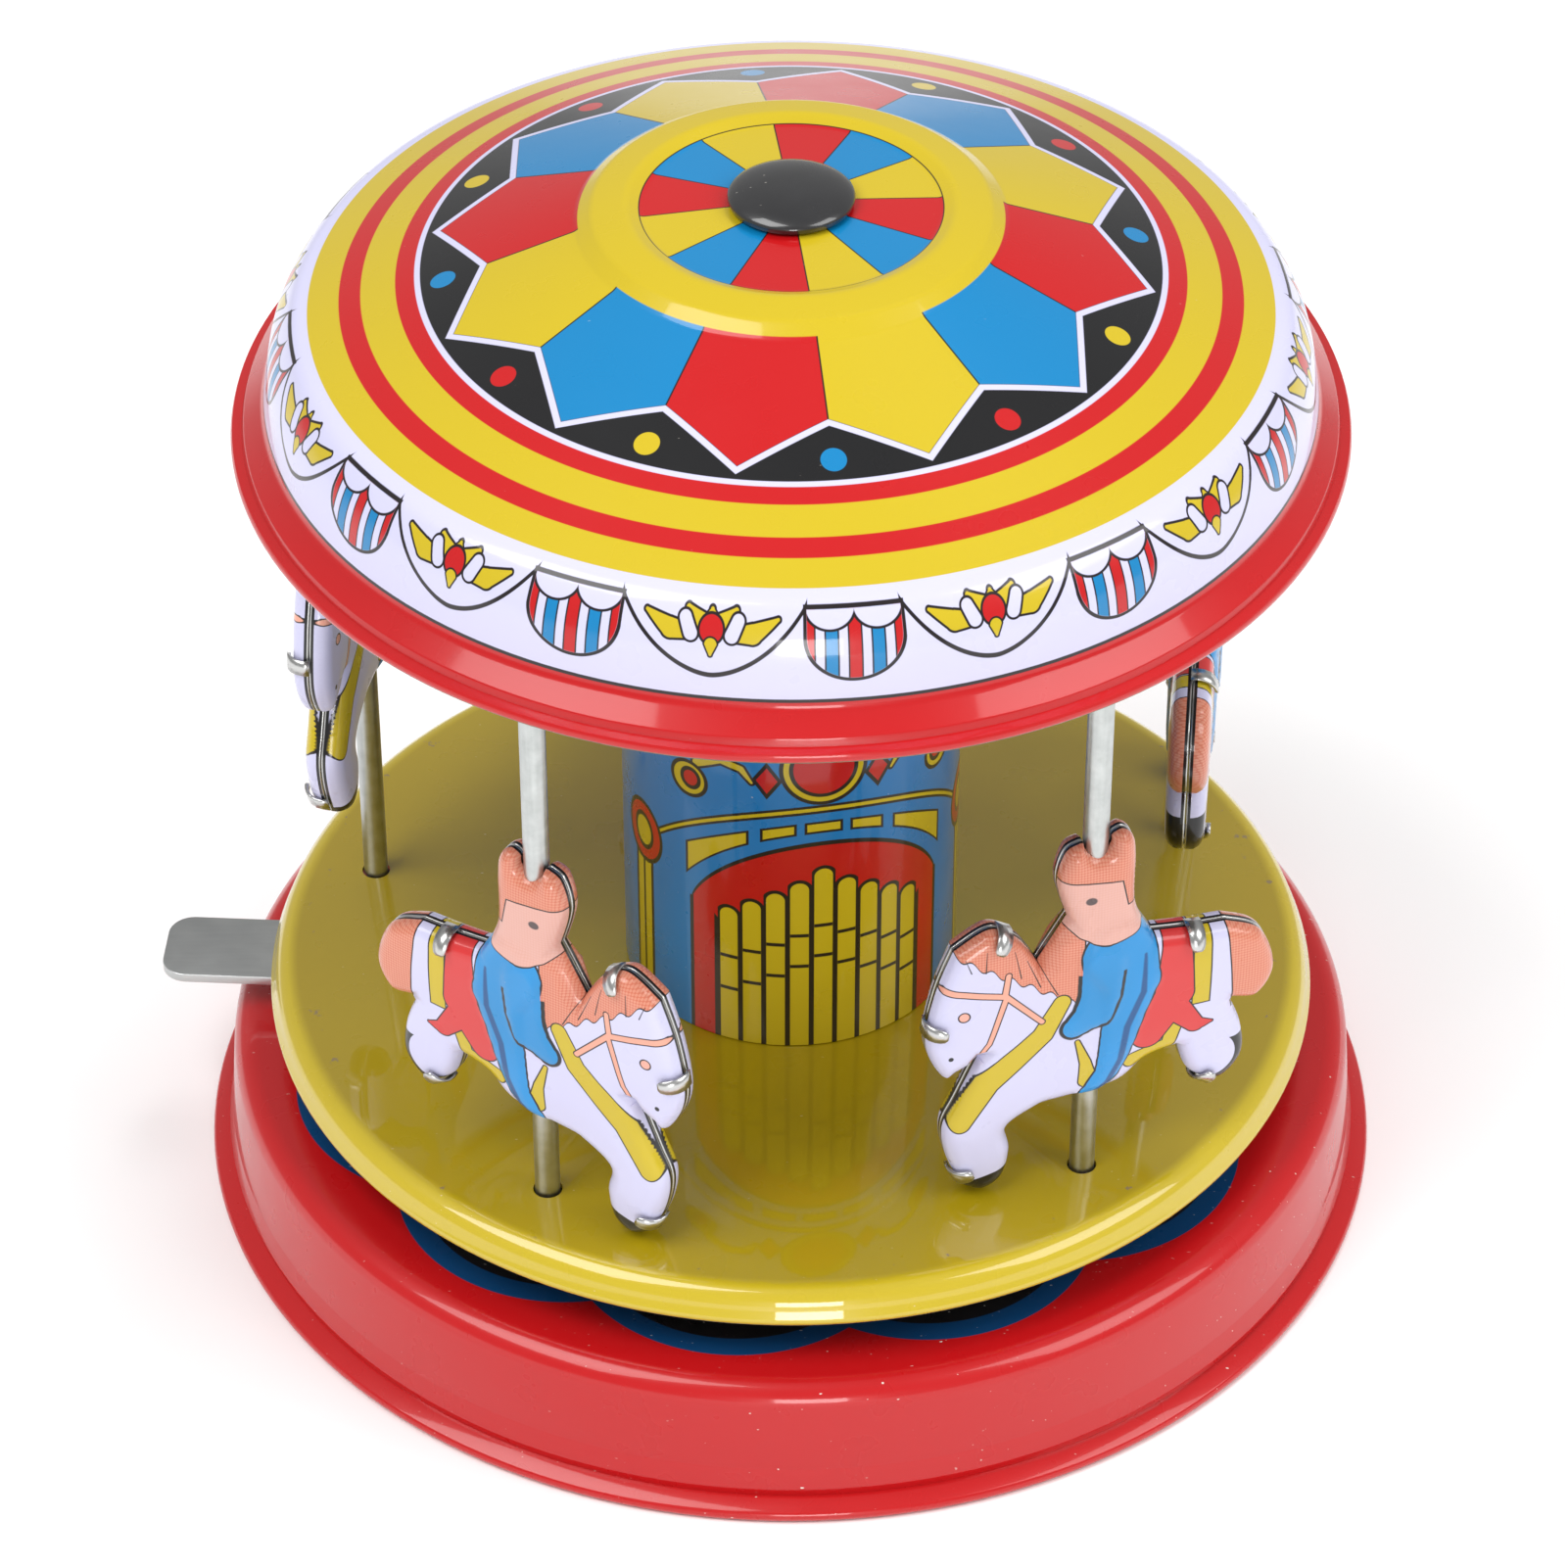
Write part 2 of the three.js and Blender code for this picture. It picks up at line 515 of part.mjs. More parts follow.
// The cap is a domed button pressed over the end of the spindle.
const capBase = ROOF_TOP + FIT;
const capSocket = SPINDLE_RADIUS + FIT;
const SPINDLE_TOP = capBase + CAP_HEIGHT / 2;
const domeRise = CAP_HEIGHT - 0.4;
const dome = (share) => [CAP_RADIUS * Math.cos(rad(90 * share)), capBase + 0.4 + domeRise * Math.sin(rad(90 * share))];
const capSection = [
  [0, SPINDLE_TOP + FIT],
  [capSocket, SPINDLE_TOP + FIT],
  [capSocket, capBase],
  [CAP_RADIUS, capBase],
  ...[0, 0.25, 0.5, 0.75, 1].map(dome),
];
add("roof_cap", turned(capSection, ROUND), BLACK_TIN);

add("spindle", round(SPINDLE_RADIUS, FLOOR_TOP + RUN, SPINDLE_TOP, ROUND), STEEL);

const columnTop = Math.min(underRoof(COLUMN_RADIUS), underRoof(COLUMN_RADIUS - TIN)) - RUN;
add(
  "column",
  round(COLUMN_RADIUS, PLATFORM_TOP + FIT, columnTop, ROUND, COLUMN_RADIUS - TIN),
  BLUE_TIN,
);

// ---- Riders --------------------------------------------------------------------------------------

// The outline of horse and rider, as [forward, up] from the pole and the figure's lowest point. Each
// stretch is a smooth line, and stretches meet at corners. The notch for the pole joins the first two.
const RIDER_OUTLINE = [
  [[2.6, 37.2], [3.5, 34.2], [2.6, 30.2]], // fringe and face
  [[2.6, 30.2], [5.2, 25.6]], // rider's chest
  [[5.2, 25.6], [7, 28.5], [9.6, 30.1], [12.9, 28.3]], // mane
  [[12.9, 28.3], [14.5, 23.7], [15.3, 18.2], [13.8, 14.3], [12.5, 14.7]], // horse's face
  [[12.5, 14.7], [10.4, 15.7]], // throat
  [[10.4, 15.7], [12.4, 10.9], [13.6, 7.9], [13.2, 4.5], [11.8, 0.9]], // chest and forelegs
  [[11.8, 0.9], [10, 0], [8, 1.1], [7.3, 4.1], [7.6, 7.1], [4.5, 9.1]], // front hoof and knee
  [[4.5, 9.1], [-2.3, 10], [-5.2, 12.3], [-8.2, 13.1]], // belly
  [[-8.2, 13.1], [-9.4, 9.6], [-12.2, 8.1], [-14.4, 10.5], [-14.2, 14], [-12.9, 17.5]], // hind legs
  [[-12.9, 17.5], [-15.5, 17.3], [-17, 20.3], [-15.6, 24.4], [-12.4, 26.1]], // tail
  [[-12.4, 26.1], [-8.9, 26.2], [-5.5, 26.5]], // rump
  [[-5.5, 26.5], [-3.6, 30.4], [-3.3, 36.3], [-2.5, 38.8]], // rider's back and hair
];
const notchRadius = POLE_RADIUS + RIDER_NOTCH;
const NOTCH_HEIGHT = 38; // height of the notch's centre in the hair

function riderOutline() {
  const notch = arc(0, NOTCH_HEIGHT, notchRadius, 165, 360, 4).map(([x, y]) => new THREE.Vector2(x, y));
  const stretches = RIDER_OUTLINE.flatMap((stretch) => {
    const line = new THREE.SplineCurve(stretch.map(([x, y]) => new THREE.Vector2(x, y)));
    return line.getPoints(stretch.length === 2 ? 1 : stretch.length).slice(1);
  });
  const start = new THREE.Vector2(...RIDER_OUTLINE[0][0]);
  return [...notch, start, ...stretches].reverse();
}

// One half of a figure, pressed like a shallow tray, with its open side on the plane of the pole.
function riderHalf(outline) {
  const half = RIDER_THICKNESS / 2;
  const inside = moved(outline.map(({ x, y }) => [x, y]), RIDER_TIN, true);
  const pocket = new THREE.Shape(inside.map(([x, y]) => new THREE.Vector2(x, y)));
  const channel = round(notchRadius, -1, NOTCH_HEIGHT, SMALL).rotateX(-Math.PI / 2);
  return cut(
    plate(new THREE.Shape(outline), FIT, half),
    plate(pocket, -FIT, half - RIDER_TIN),
    channel,
  );
}

const halfRider = riderHalf(riderOutline());
poleAzimuths.forEach((azimuth, i) => {
  const at = polar(POLE_CIRCLE, azimuth);
  const poleTop = underRoof(POLE_CIRCLE + POLE_RADIUS) - RUN;
  const pole = add(`pole_${i + 1}`, round(POLE_RADIUS, PLATFORM_TOP - TIN, poleTop, SMALL), GALVANISED);
  pole.position.set(at.x, at.y, 0);

  // The figure stands upright along the tangent: its sides face the column and the outside.
  const stand = new THREE.Group();
  stand.position.set(at.x, at.y, PLATFORM_TOP + RIDER_LIFTS[i]);
  stand.rotation.z = rad(azimuth + 90 + RIDER_TURNS[i]);
  toy.add(stand);
  for (const [side, outwards] of [["outer", 1], ["inner", -1]]) {
    const half = add(`rider_${i + 1}_${side}_half`, halfRider.clone(), WHITE_TIN, stand);
    half.rotation.x = Math.PI / 2;
    half.scale.set(RIDER_FACING[i], 1, outwards);
  }
});

export default toy;
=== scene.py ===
# %% [markdown]
# # A wind-up tin carousel
# The toy is printed tin: sheets of steel that were printed flat, varnished, and then pressed, rolled
# and bent into shape. So its form is thin shells with rolled edges, and its colour is hard-edged ink
# under a glossy varnish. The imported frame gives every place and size. The shells are made again here
# as smooth spun sheets, and the inks are drawn by shader maths in millimetres.

# %% Load the frame
import json
import math

import bmesh
import bpy
from mathutils import Matrix, Vector
from mathutils.geometry import delaunay_2d_cdt


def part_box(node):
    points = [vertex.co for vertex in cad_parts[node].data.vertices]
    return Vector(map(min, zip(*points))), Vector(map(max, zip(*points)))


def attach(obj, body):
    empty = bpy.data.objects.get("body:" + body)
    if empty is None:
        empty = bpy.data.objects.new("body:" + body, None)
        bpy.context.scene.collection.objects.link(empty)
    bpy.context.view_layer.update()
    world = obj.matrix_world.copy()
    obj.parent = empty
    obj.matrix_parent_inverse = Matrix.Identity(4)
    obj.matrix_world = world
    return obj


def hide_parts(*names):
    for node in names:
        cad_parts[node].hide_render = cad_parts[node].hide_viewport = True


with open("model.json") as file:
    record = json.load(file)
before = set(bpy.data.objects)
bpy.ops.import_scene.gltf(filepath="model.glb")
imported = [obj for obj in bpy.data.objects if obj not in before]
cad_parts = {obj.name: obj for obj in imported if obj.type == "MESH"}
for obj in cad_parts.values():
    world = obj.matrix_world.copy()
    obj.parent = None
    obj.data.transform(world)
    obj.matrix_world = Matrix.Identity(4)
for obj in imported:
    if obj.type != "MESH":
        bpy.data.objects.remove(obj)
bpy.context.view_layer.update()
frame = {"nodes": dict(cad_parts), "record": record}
MM = 0.001

# %% [markdown]
# ## Camera
# The toy is seen from in front and well above, through a long lens, so its circles stay close to true
# ellipses. The camera comes first, because every later choice of detail depends on what it shows.

# %% Camera
LENS = 132.04
PITCH_DOWN = 38.916
CAMERA_PLACE = Vector((-0.63, -416.65, 376.76)) * MM
camera_data = bpy.data.cameras.new("camera")
camera_data.lens = LENS
camera_data.sensor_width = 36
camera = bpy.data.objects.new("camera", camera_data)
camera.location = CAMERA_PLACE
camera.rotation_euler = (math.radians(90 - PITCH_DOWN), 0, 0)
bpy.context.collection.objects.link(camera)
bpy.context.scene.camera = camera
print("camera", tuple(round(v, 3) for v in camera.location))

# %% [markdown]
# ## Sizes read from the frame
# The heights and radii come from the boxes of the CAD nodes, so a change of size there carries over.
# The shape between those sizes, such as a rounding, and how each figure sits on its pole are chosen here.

# %% Sizes
def low(node):
    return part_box(node)[0] / MM


def high(node):
    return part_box(node)[1] / MM


def radius_of(node):
    return (high(node).x - low(node).x) / 2


BASE_RADIUS = radius_of("base_pan")
BASE_TOP = high("base_pan").z
TUBE_RADIUS = radius_of("winding_tube")
ARM_UNDER, ARM_TOP = low("winding_arm").z, high("winding_arm").z
CAROUSEL_RADIUS = radius_of("platform")
PLATFORM_EDGE, PLATFORM_TOP = low("platform").z, high("platform").z
ROOF_EDGE, ROOF_TOP = low("roof").z, high("roof").z
COLUMN_RADIUS = radius_of("column")
COLUMN_TOP = high("column").z
CAP_RADIUS = radius_of("roof_cap")
TIN = 0.45
BEAD = 0.7
POLES = [(low(f"pole_{i}") + high(f"pole_{i}")) / 2 for i in range(1, 6)]
POLE_RADIUS = radius_of("pole_1")
FACING = [1, -1, 1, 1, 1]  # -1 rides the other way round
TURNS = [0, -24, -27, 0, 0]  # degrees that a figure has slipped round its pole
print("base", BASE_RADIUS, "platform", CAROUSEL_RADIUS, PLATFORM_TOP, "roof", ROOF_EDGE, ROOF_TOP)

# %% [markdown]
# ## Shader maths
# A pattern printed on tin is a set of shapes with hard edges. Each shape is a signed distance: below
# zero inside, above zero outside, in millimetres. Writing those distances as plain Python sums keeps
# them readable, so a small class turns each operator into a Math node.

# %% A class for numbers in a material
class Number:
    """A value travelling through a material. Sums on it add Math nodes."""

    def __init__(self, ink, socket):
        self.ink = ink
        self.socket = socket

    def math(self, operation, *values):
        sockets = {i: v for i, v in enumerate(values)}
        made = self.ink.node("ShaderNodeMath", {"operation": operation}, sockets)
        return Number(self.ink, made.outputs[0])

    def __add__(self, other):
        return self.math("ADD", self, other)

    def __sub__(self, other):
        return self.math("SUBTRACT", self, other)

    def __mul__(self, other):
        return self.math("MULTIPLY", self, other)

    def __truediv__(self, other):
        return self.math("DIVIDE", self, other)

    def __rsub__(self, other):
        return self.math("SUBTRACT", other, self)

    def __abs__(self):
        return self.math("ABSOLUTE", self)

    def __pow__(self, other):
        return self.math("POWER", self, other)

    __radd__ = __add__
    __rmul__ = __mul__

    def least(self, other):
        return self.math("MINIMUM", self, other)

    def most(self, other):
        return self.math("MAXIMUM", self, other)

    def below(self, other):
        return self.math("LESS_THAN", self, other)

    def wrap(self, period):
        """The distance from the nearest multiple of period, with its sign."""
        return self.math("WRAP", self, period / 2, -period / 2)

    def inside(self, blur=0.03):
        """1 inside a shape and 0 outside it, with an edge as crisp as print."""
        node = self.ink.node(
            "ShaderNodeMapRange",
            {"clamp": True},
            {"Value": self, "From Min": blur, "From Max": -blur, "To Min": 0, "To Max": 1},
        )
        return Number(self.ink, node.outputs[0])


class Ink:
    """One material: its node tree, its places in millimetres and its layers of colour."""

    def __init__(self, name, **shader):
        self.material = bpy.data.materials.new(name)
        self.material.use_nodes = True
        self.tree = self.material.node_tree
        self.shader = self.tree.nodes["Principled BSDF"]
        for socket, value in shader.items():
            self.shader.inputs[socket.replace("_", " ")].default_value = value

    def node(self, kind, settings=None, sockets=None):
        made = self.tree.nodes.new(kind)
        for name, value in (settings or {}).items():
            setattr(made, name, value)
        for name, value in (sockets or {}).items():
            if isinstance(value, Number):
                value = value.socket
            if isinstance(value, bpy.types.NodeSocket):
                self.tree.links.new(value, made.inputs[name])
            else:
                made.inputs[name].default_value = value
        return made

    def number(self, socket):
        return Number(self, socket)

    def place(self):
        """x, y and z of the surface, in millimetres."""
        where = self.node("ShaderNodeTexCoord").outputs["Object"]
        parts = self.node("ShaderNodeSeparateXYZ", sockets={0: where})
        return [self.number(parts.outputs[i]) * 1000 for i in range(3)]

    def round_place(self):
        """Distance from the spindle, azimuth in degrees and height."""
        x, y, z = self.place()
        radius = (x * x + y * y) ** 0.5
        azimuth = y.math("ARCTAN2", y, x) * (180 / math.pi)
        return radius, azimuth, z

    def mix(self, under, over, mask):
        made = self.node("ShaderNodeMix", {"data_type": "RGBA"}, {"Factor": mask, 6: under, 7: over})
        return made.outputs[2]

    def noise(self, scale, detail=2.0, where=None, roughness=0.5):
        where = where or self.node("ShaderNodeTexCoord").outputs["Object"]
        made = self.node(
            "ShaderNodeTexNoise",
            sockets={"Vector": where, "Scale": scale, "Detail": detail, "Roughness": roughness},
        )
        return self.number(made.outputs[0])

    def feed(self, socket, value):
        source = value.socket if isinstance(value, Number) else value
        self.tree.links.new(source, self.shader.inputs[socket])

    def bump(self, height, strength, distance=0.0001):
        made = self.node(
            "ShaderNodeBump", sockets={"Strength": strength, "Distance": distance, "Height": height}
        )
        self.tree.links.new(made.outputs[0], self.shader.inputs["Normal"])


def circle(x, y, cx, cy, radius):
    return ((x - cx) * (x - cx) + (y - cy) * (y - cy)) ** 0.5 - radius


def oval(x, y, cx, cy, across, up):
    """Close to a true distance near the outline, which is where the ink's edge falls."""
    u, v = (x - cx) / across, (y - cy) / up
    return ((u * u + v * v) ** 0.5 - 1) * min(across, up)


def stroke(x, y, points):
    """A brush stroke through (x, y, half width) points."""
    shape = None
    for (ax, ay, ar), (bx, by, br) in zip(points, points[1:]):
        dx, dy = bx - ax, by - ay
        span = dx * dx + dy * dy
        along = ((x - ax) * (dx / span) + (y - ay) * (dy / span)).most(0).least(1)
        u, v = x - ax - along * dx, y - ay - along * dy
        piece = (u * u + v * v) ** 0.5 - along * (br - ar) - ar
        shape = piece if shape is None else shape.least(piece)
    return shape


print("shader helpers ready")

# %% [markdown]
# ## Inks and varnish
# All the printed parts share a handful of inks. A clear varnish lies over them, so each printed
# material gets a glossy coat. Handling leaves fine scratches and dust, which are lighter flecks.

# %% Inks
def rgb(r, g, b):
    return (r, g, b, 1)


RED = rgb(0.50, 0.006, 0.008)
YELLOW = rgb(0.56, 0.42, 0.012)
BLUE = rgb(0.003, 0.20, 0.46)
NAVY = rgb(0.004, 0.05, 0.15)
BLACK = rgb(0.008, 0.008, 0.009)
LINE = rgb(0.012, 0.008, 0.009)
PALE = rgb(0.60, 0.59, 0.80)
SALMON = rgb(0.60, 0.17, 0.10)
PINK = rgb(0.68, 0.36, 0.30)
VARNISH = {"Coat_Weight": 0.6, "Coat_Roughness": 0.06, "Roughness": 0.3, "Specular_IOR_Level": 0.25}


def bare_inside(ink, colour):
    """The unprinted side of a sheet, which faces down, keeps its dull tin colour."""
    normal = ink.node("ShaderNodeNewGeometry").outputs["Normal"]
    facing_down = ink.number(ink.node("ShaderNodeSeparateXYZ", sockets={0: normal}).outputs[2]) + 0.45
    dull = ink.mix(rgb(0.16, 0.15, 0.13), rgb(0.26, 0.24, 0.21), ink.noise(70, 3.0))
    return ink.mix(colour, dull, facing_down.inside(0.05))


DUST = rgb(0.75, 0.7, 0.62)


def wear(ink, colour, amount=1.0, fleck=DUST):
    """Dust flecks and short scratches over a printed colour, and a faint unevenness in the varnish."""
    where = ink.node("ShaderNodeTexCoord").outputs["Object"]
    stretched = ink.node("ShaderNodeMapping", sockets={"Vector": where, "Scale": (1, 2.6, 1.7)})
    specks = ink.noise(1500, 1.0, stretched.outputs[0])
    patches = ink.noise(60, 3.0)
    mask = ((specks - (0.845 - 0.06 * amount)) * 40).most(0).least(1)
    mask = (mask * (patches - 0.42).most(0).least(0.2) * (4 * amount)).least(1)
    ink.feed("Base Color", ink.mix(colour, fleck, mask))
    ink.feed("Roughness", 0.22 + ink.noise(220, 3.0) * 0.14 + mask * 0.3)
    ink.bump(ink.noise(160, 2.0), 0.05)


print("inks ready")

# %% [markdown]
# ## Spun sheets
# A pressed round part is a section turned round the spindle. Its outside line has rounded corners,
# its inside line runs one sheet's thickness inside it, and its edge is rolled into a bead. The section
# is built as a loop of vertices and spun by bmesh, which closes the ring.

# %% Helpers for spun sheets
SPIN_STEPS = 180


def rounded(corners, steps=6):
    """A line through (radius, height, rounding) corners, each rounded by an arc of that radius."""
    line = []
    for i, (x, y, rounding) in enumerate(corners):
        here = Vector((x, y))
        if rounding == 0 or i in (0, len(corners) - 1):
            line.append(here)
            continue
        back = (Vector(corners[i - 1][:2]) - here).normalized()
        on = (Vector(corners[i + 1][:2]) - here).normalized()
        half = back.angle(on) / 2
        run = rounding / math.tan(half)
        centre = here + (back + on).normalized() * rounding / math.sin(half)
        start, end = here + back * run - centre, here + on * run - centre
        turn = start.angle_signed(end)
        line += [centre + Matrix.Rotation(-turn * k / steps, 2) @ start for k in range(steps + 1)]
    return line


def shifted(line, distance):
    """The same line moved to its left by a distance."""
    moved = []
    for i, point in enumerate(line):
        before = line[max(i - 1, 0)]
        after = line[min(i + 1, len(line) - 1)]
        along = (after - before).normalized()
        moved.append(point + Vector((-along.y, along.x)) * distance)
    return moved


def bead(radius, height, size, start, end, steps=14):
    """A rolled edge: an arc in the section, between two angles in degrees."""
    angles = [math.radians(start + (end - start) * k / steps) for k in range(steps + 1)]
    return [Vector((radius + size * math.cos(a), height + size * math.sin(a))) for a in angles]


def finished(name, bm, material, body, nodes, sharp=35):
    """Turns a bmesh into a piece of the toy that rides its body and stands for its CAD nodes."""
    mesh = bpy.data.meshes.new(name)
    bm.to_mesh(mesh)
    bm.free()
    for face in mesh.polygons:
        face.use_smooth = True
    mesh.set_sharp_from_angle(angle=math.radians(sharp))
    piece = bpy.data.objects.new(name, mesh)
    bpy.context.collection.objects.link(piece)
    mesh.materials.append(material)
    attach(piece, body)
    if nodes:
        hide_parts(*nodes)
    print(name, len(mesh.polygons), "faces")
    return piece


def spun(section, steps=SPIN_STEPS, closed=True):
    """Turns a section, in millimetres, round the spindle."""
    bm = bmesh.new()
    ring = [bm.verts.new((p.x * MM, 0, p.y * MM)) for p in section]
    pairs = list(zip(ring, ring[1:])) + ([(ring[-1], ring[0])] if closed else [])
    edges = [bm.edges.new(pair) for pair in pairs]
    bmesh.ops.spin(
        bm,
        geom=ring + edges,
        cent=(0, 0, 0),
        axis=(0, 0, 1),
        angle=2 * math.pi,
        steps=steps,
        use_merge=True,
    )
    bmesh.ops.remove_doubles(bm, verts=bm.verts, dist=1e-7)
    bmesh.ops.recalc_face_normals(bm, faces=bm.faces)
    return bm


def sheet(edge, corners, thickness=TIN, steps=6):
    """Section of a pressed sheet: its rolled edge, its outside line, and back along the inside."""
    outside = rounded(corners, steps)
    return edge + outside + shifted(outside, thickness)[::-1]


print("spinning helpers ready")

# %% [markdown]
# ## Base
# The base is a red pan with a rolled foot. Black and blue scallops are printed on its top and show in
# the gap under the platform. Twelve equal lobes repeat, so the azimuth is wrapped to one lobe first.

# %% Base ink
LOBE = 30
LOBE_AZIMUTH = -98.4
LOBE_CENTRE = 33.0
LOBE_RADIUS = 15.9
LOBE_BLUE = 2.1
LOBE_LIMIT = 44.0  # the scallops stop where the top turns down


def base_ink():
    ink = Ink("base_print", **VARNISH)
    radius, azimuth, height = ink.round_place()
    turn = (azimuth - LOBE_AZIMUTH).wrap(LOBE) * (math.pi / 180)
    across, out = radius * turn.math("SINE", turn), radius * turn.math("COSINE", turn)
    lobe = circle(across, out, 0, LOBE_CENTRE, LOBE_RADIUS).least(radius - LOBE_LIMIT)
    top = (BASE_TOP - 0.4 - height).inside()
    colour = ink.mix(RED, NAVY, lobe.inside() * top)
    colour = ink.mix(colour, BLACK, (lobe + LOBE_BLUE).inside() * top)
    wear(ink, colour, 1.2)
    return ink.material


print("base ink ready")

# %% [markdown]
# ## Base pan
# The pan is drawn from one blank: a flat top, a wall that leans in a little, and a foot rolled outwards
# so that no sharp edge is left. A lathe profile gives all of it, because every part of it is round.

# %% Base pan
wall_top = BASE_RADIUS - 2.8
foot = bead(BASE_RADIUS - BEAD, BEAD, BEAD, 180, 410)
base_corners = [
    (BASE_RADIUS - 1.9, 1.75, 0),
    (BASE_RADIUS - 1.65, 2.7, 0.5),
    (BASE_RADIUS - 2.1, 4.8, 1.5),
    (wall_top, BASE_TOP, 2.3),
    (TUBE_RADIUS + 0.3, BASE_TOP, 0),
]
base_bm = spun(sheet(foot, base_corners))
finished("base_pan_sheet", base_bm, base_ink(), "base", ["base_pan"])

# %% [markdown]
# ## Bare metal
# The poles and the arm are galvanised: a dull grey metal with a faint crystal spangle and long streaks.
# The clockwork is mild steel, blued spring steel and stamped brass. All are fully metallic, and only
# the roughness and a little colour vary.

# %% Metals
def metal(name, colour, dark, roughness, spangle=900, streak=(1, 1, 0.08)):
    ink = Ink(name, Metallic=1.0)
    where = ink.node("ShaderNodeTexCoord").outputs["Object"]
    drawn = ink.node("ShaderNodeMapping", sockets={"Vector": where, "Scale": streak})
    streaks = ink.noise(2600, 2.0, drawn.outputs[0])
    crystals = ink.noise(spangle, 3.0)
    ink.feed("Base Color", ink.mix(dark, colour, (crystals * 0.9 + streaks * 0.5 - 0.1).least(1).most(0)))
    ink.feed("Roughness", roughness + crystals * 0.16 + streaks * 0.08 - 0.1)
    ink.bump(streaks + crystals, 0.12, 0.00004)
    return ink.material


GALVANISED = metal("galvanised", rgb(0.62, 0.64, 0.63), rgb(0.36, 0.38, 0.37), 0.33)
PLATE = metal("galvanised_plate", rgb(0.60, 0.61, 0.60), rgb(0.44, 0.45, 0.45), 0.36, 260, (0.08, 1, 1))
STEEL = metal("mild_steel", rgb(0.46, 0.46, 0.47), rgb(0.26, 0.26, 0.28), 0.32, 500)
BLUED = metal("blued_steel", rgb(0.07, 0.09, 0.16), rgb(0.03, 0.035, 0.05), 0.28, 300)
BRASS = metal("stamped_brass", rgb(0.72, 0.48, 0.16), rgb(0.48, 0.29, 0.09), 0.27, 400)
METALS = {"steel": STEEL, "blued_steel": BLUED, "brass": BRASS, "galvanised": PLATE}
slot_of = {part["node"]: part["material_slot"] for part in frame["record"]["subparts"]}
for node, thing in frame["nodes"].items():
    if slot_of[node] in METALS:
        thing.data.materials.clear()
        thing.data.materials.append(METALS[slot_of[node]])
print("metal nodes:", sum(slot in METALS for slot in slot_of.values()))

# %% [markdown]
# ## Bottom plate
# A plain disc closes the clockwork in from below. It could stay a CAD mesh, but a spun one has the
# slightly rounded edge of a sheared disc.

# %% Bottom plate
floor_radius = radius_of("bottom_plate")
floor_top = high("bottom_plate").z
plate_line = [(0, 0, 0), (floor_radius, 0, 0.1), (floor_radius, floor_top, 0.1), (0, floor_top, 0)]
finished(
    "bottom_plate_sheet",
    spun(rounded(plate_line, 2), closed=False),
    PLATE,
    "base",
    ["bottom_plate"],
)

# %% [markdown]
# ## Winding arm
# The arm is a strip of galvanised plate with rounded corners, riveted to the winding tube. It is drawn
# as a flat face, extruded to its thickness, and its sharp edges are bevelled. The tube is out of sight
# and keeps its CAD mesh.

# %% Winding arm
ARM_WIDTH = 8.6
ARM_CORNER = 2.4
ARM_AZIMUTH = 176.7
ARM_REACH = -low("winding_arm").x / math.cos(math.radians(180 - ARM_AZIMUTH)) - 0.15


def winding_arm():
    half = ARM_WIDTH / 2
    hub = TUBE_RADIUS + 3.1
    root = math.sqrt(hub**2 - half**2)
    spread = math.asin(half / hub)
    end = [(ARM_REACH, -half, ARM_CORNER), (ARM_REACH, half, ARM_CORNER)]
    outline = rounded([(root, -half, 0), *end, (root, half, 0)], 8)
    turns = [spread + (2 * math.pi - 2 * spread) * k / 40 for k in range(1, 40)]
    outline += [Vector((hub * math.cos(a), hub * math.sin(a))) for a in turns]
    bm = bmesh.new()
    face = bm.faces.new([bm.verts.new((p.x * MM, p.y * MM, ARM_UNDER * MM)) for p in outline])
    grown = bmesh.ops.extrude_face_region(bm, geom=[face])
    top = [g for g in grown["geom"] if isinstance(g, bmesh.types.BMVert)]
    bmesh.ops.translate(bm, verts=top, vec=(0, 0, (ARM_TOP - ARM_UNDER) * MM))
    rims = [e for e in bm.edges if len(e.link_faces) == 2 and e.calc_face_angle() > 1.2]
    bmesh.ops.bevel(
        bm, geom=rims, offset=0.14 * MM, segments=3, profile=0.5, affect="EDGES", material=-1
    )
    turn = Matrix.Rotation(math.radians(ARM_AZIMUTH), 3, "Z")
    bmesh.ops.rotate(bm, verts=bm.verts, cent=(0, 0, 0), matrix=turn)
    bmesh.ops.recalc_face_normals(bm, faces=bm.faces)
    return bm


finished("winding_arm_plate", winding_arm(), PLATE, "winder", ["winding_arm"], 25)

# %% [markdown]
# ## Platform
# The platform is a shallow yellow pan, pressed down at its edge and rolled. Each pole stands in a hole
# a little wider than itself, and that thin dark ring is cut with a boolean.

# %% Platform
def platform_ink():
    ink = Ink("platform_print", **{**VARNISH, "Coat_Weight": 1.0, "Coat_Roughness": 0.03, "Coat_IOR": 1.6})
    radius = ink.round_place()[0]
    # The flat top inside the rim is painted in two darker olive tones mixed by noise: painted shade under
    # the roof and a painted reflection of the roof's dark underside. Only the rim keeps the full yellow.
    shade = ink.noise(9, 2.0)
    colour = ink.mix(rgb(0.36, 0.25, 0.004), rgb(0.43, 0.31, 0.006), shade)
    rim = (CAROUSEL_RADIUS - 2.2 - radius).inside(0.5)
    colour = ink.mix(colour, YELLOW, rim)
    chips = ink.noise(420, 4.0, roughness=0.7)
    ring = abs(radius - (CAROUSEL_RADIUS - 3.1)) - 0.9
    chipped = ((0.655 - chips) * 30).most(ring * 2)
    colour = ink.mix(colour, rgb(0.22, 0.16, 0.10), chipped.inside(0.4) * 0.8)
    wear(ink, bare_inside(ink, colour), 1.0, rgb(0.8, 0.7, 0.45))
    return ink.material


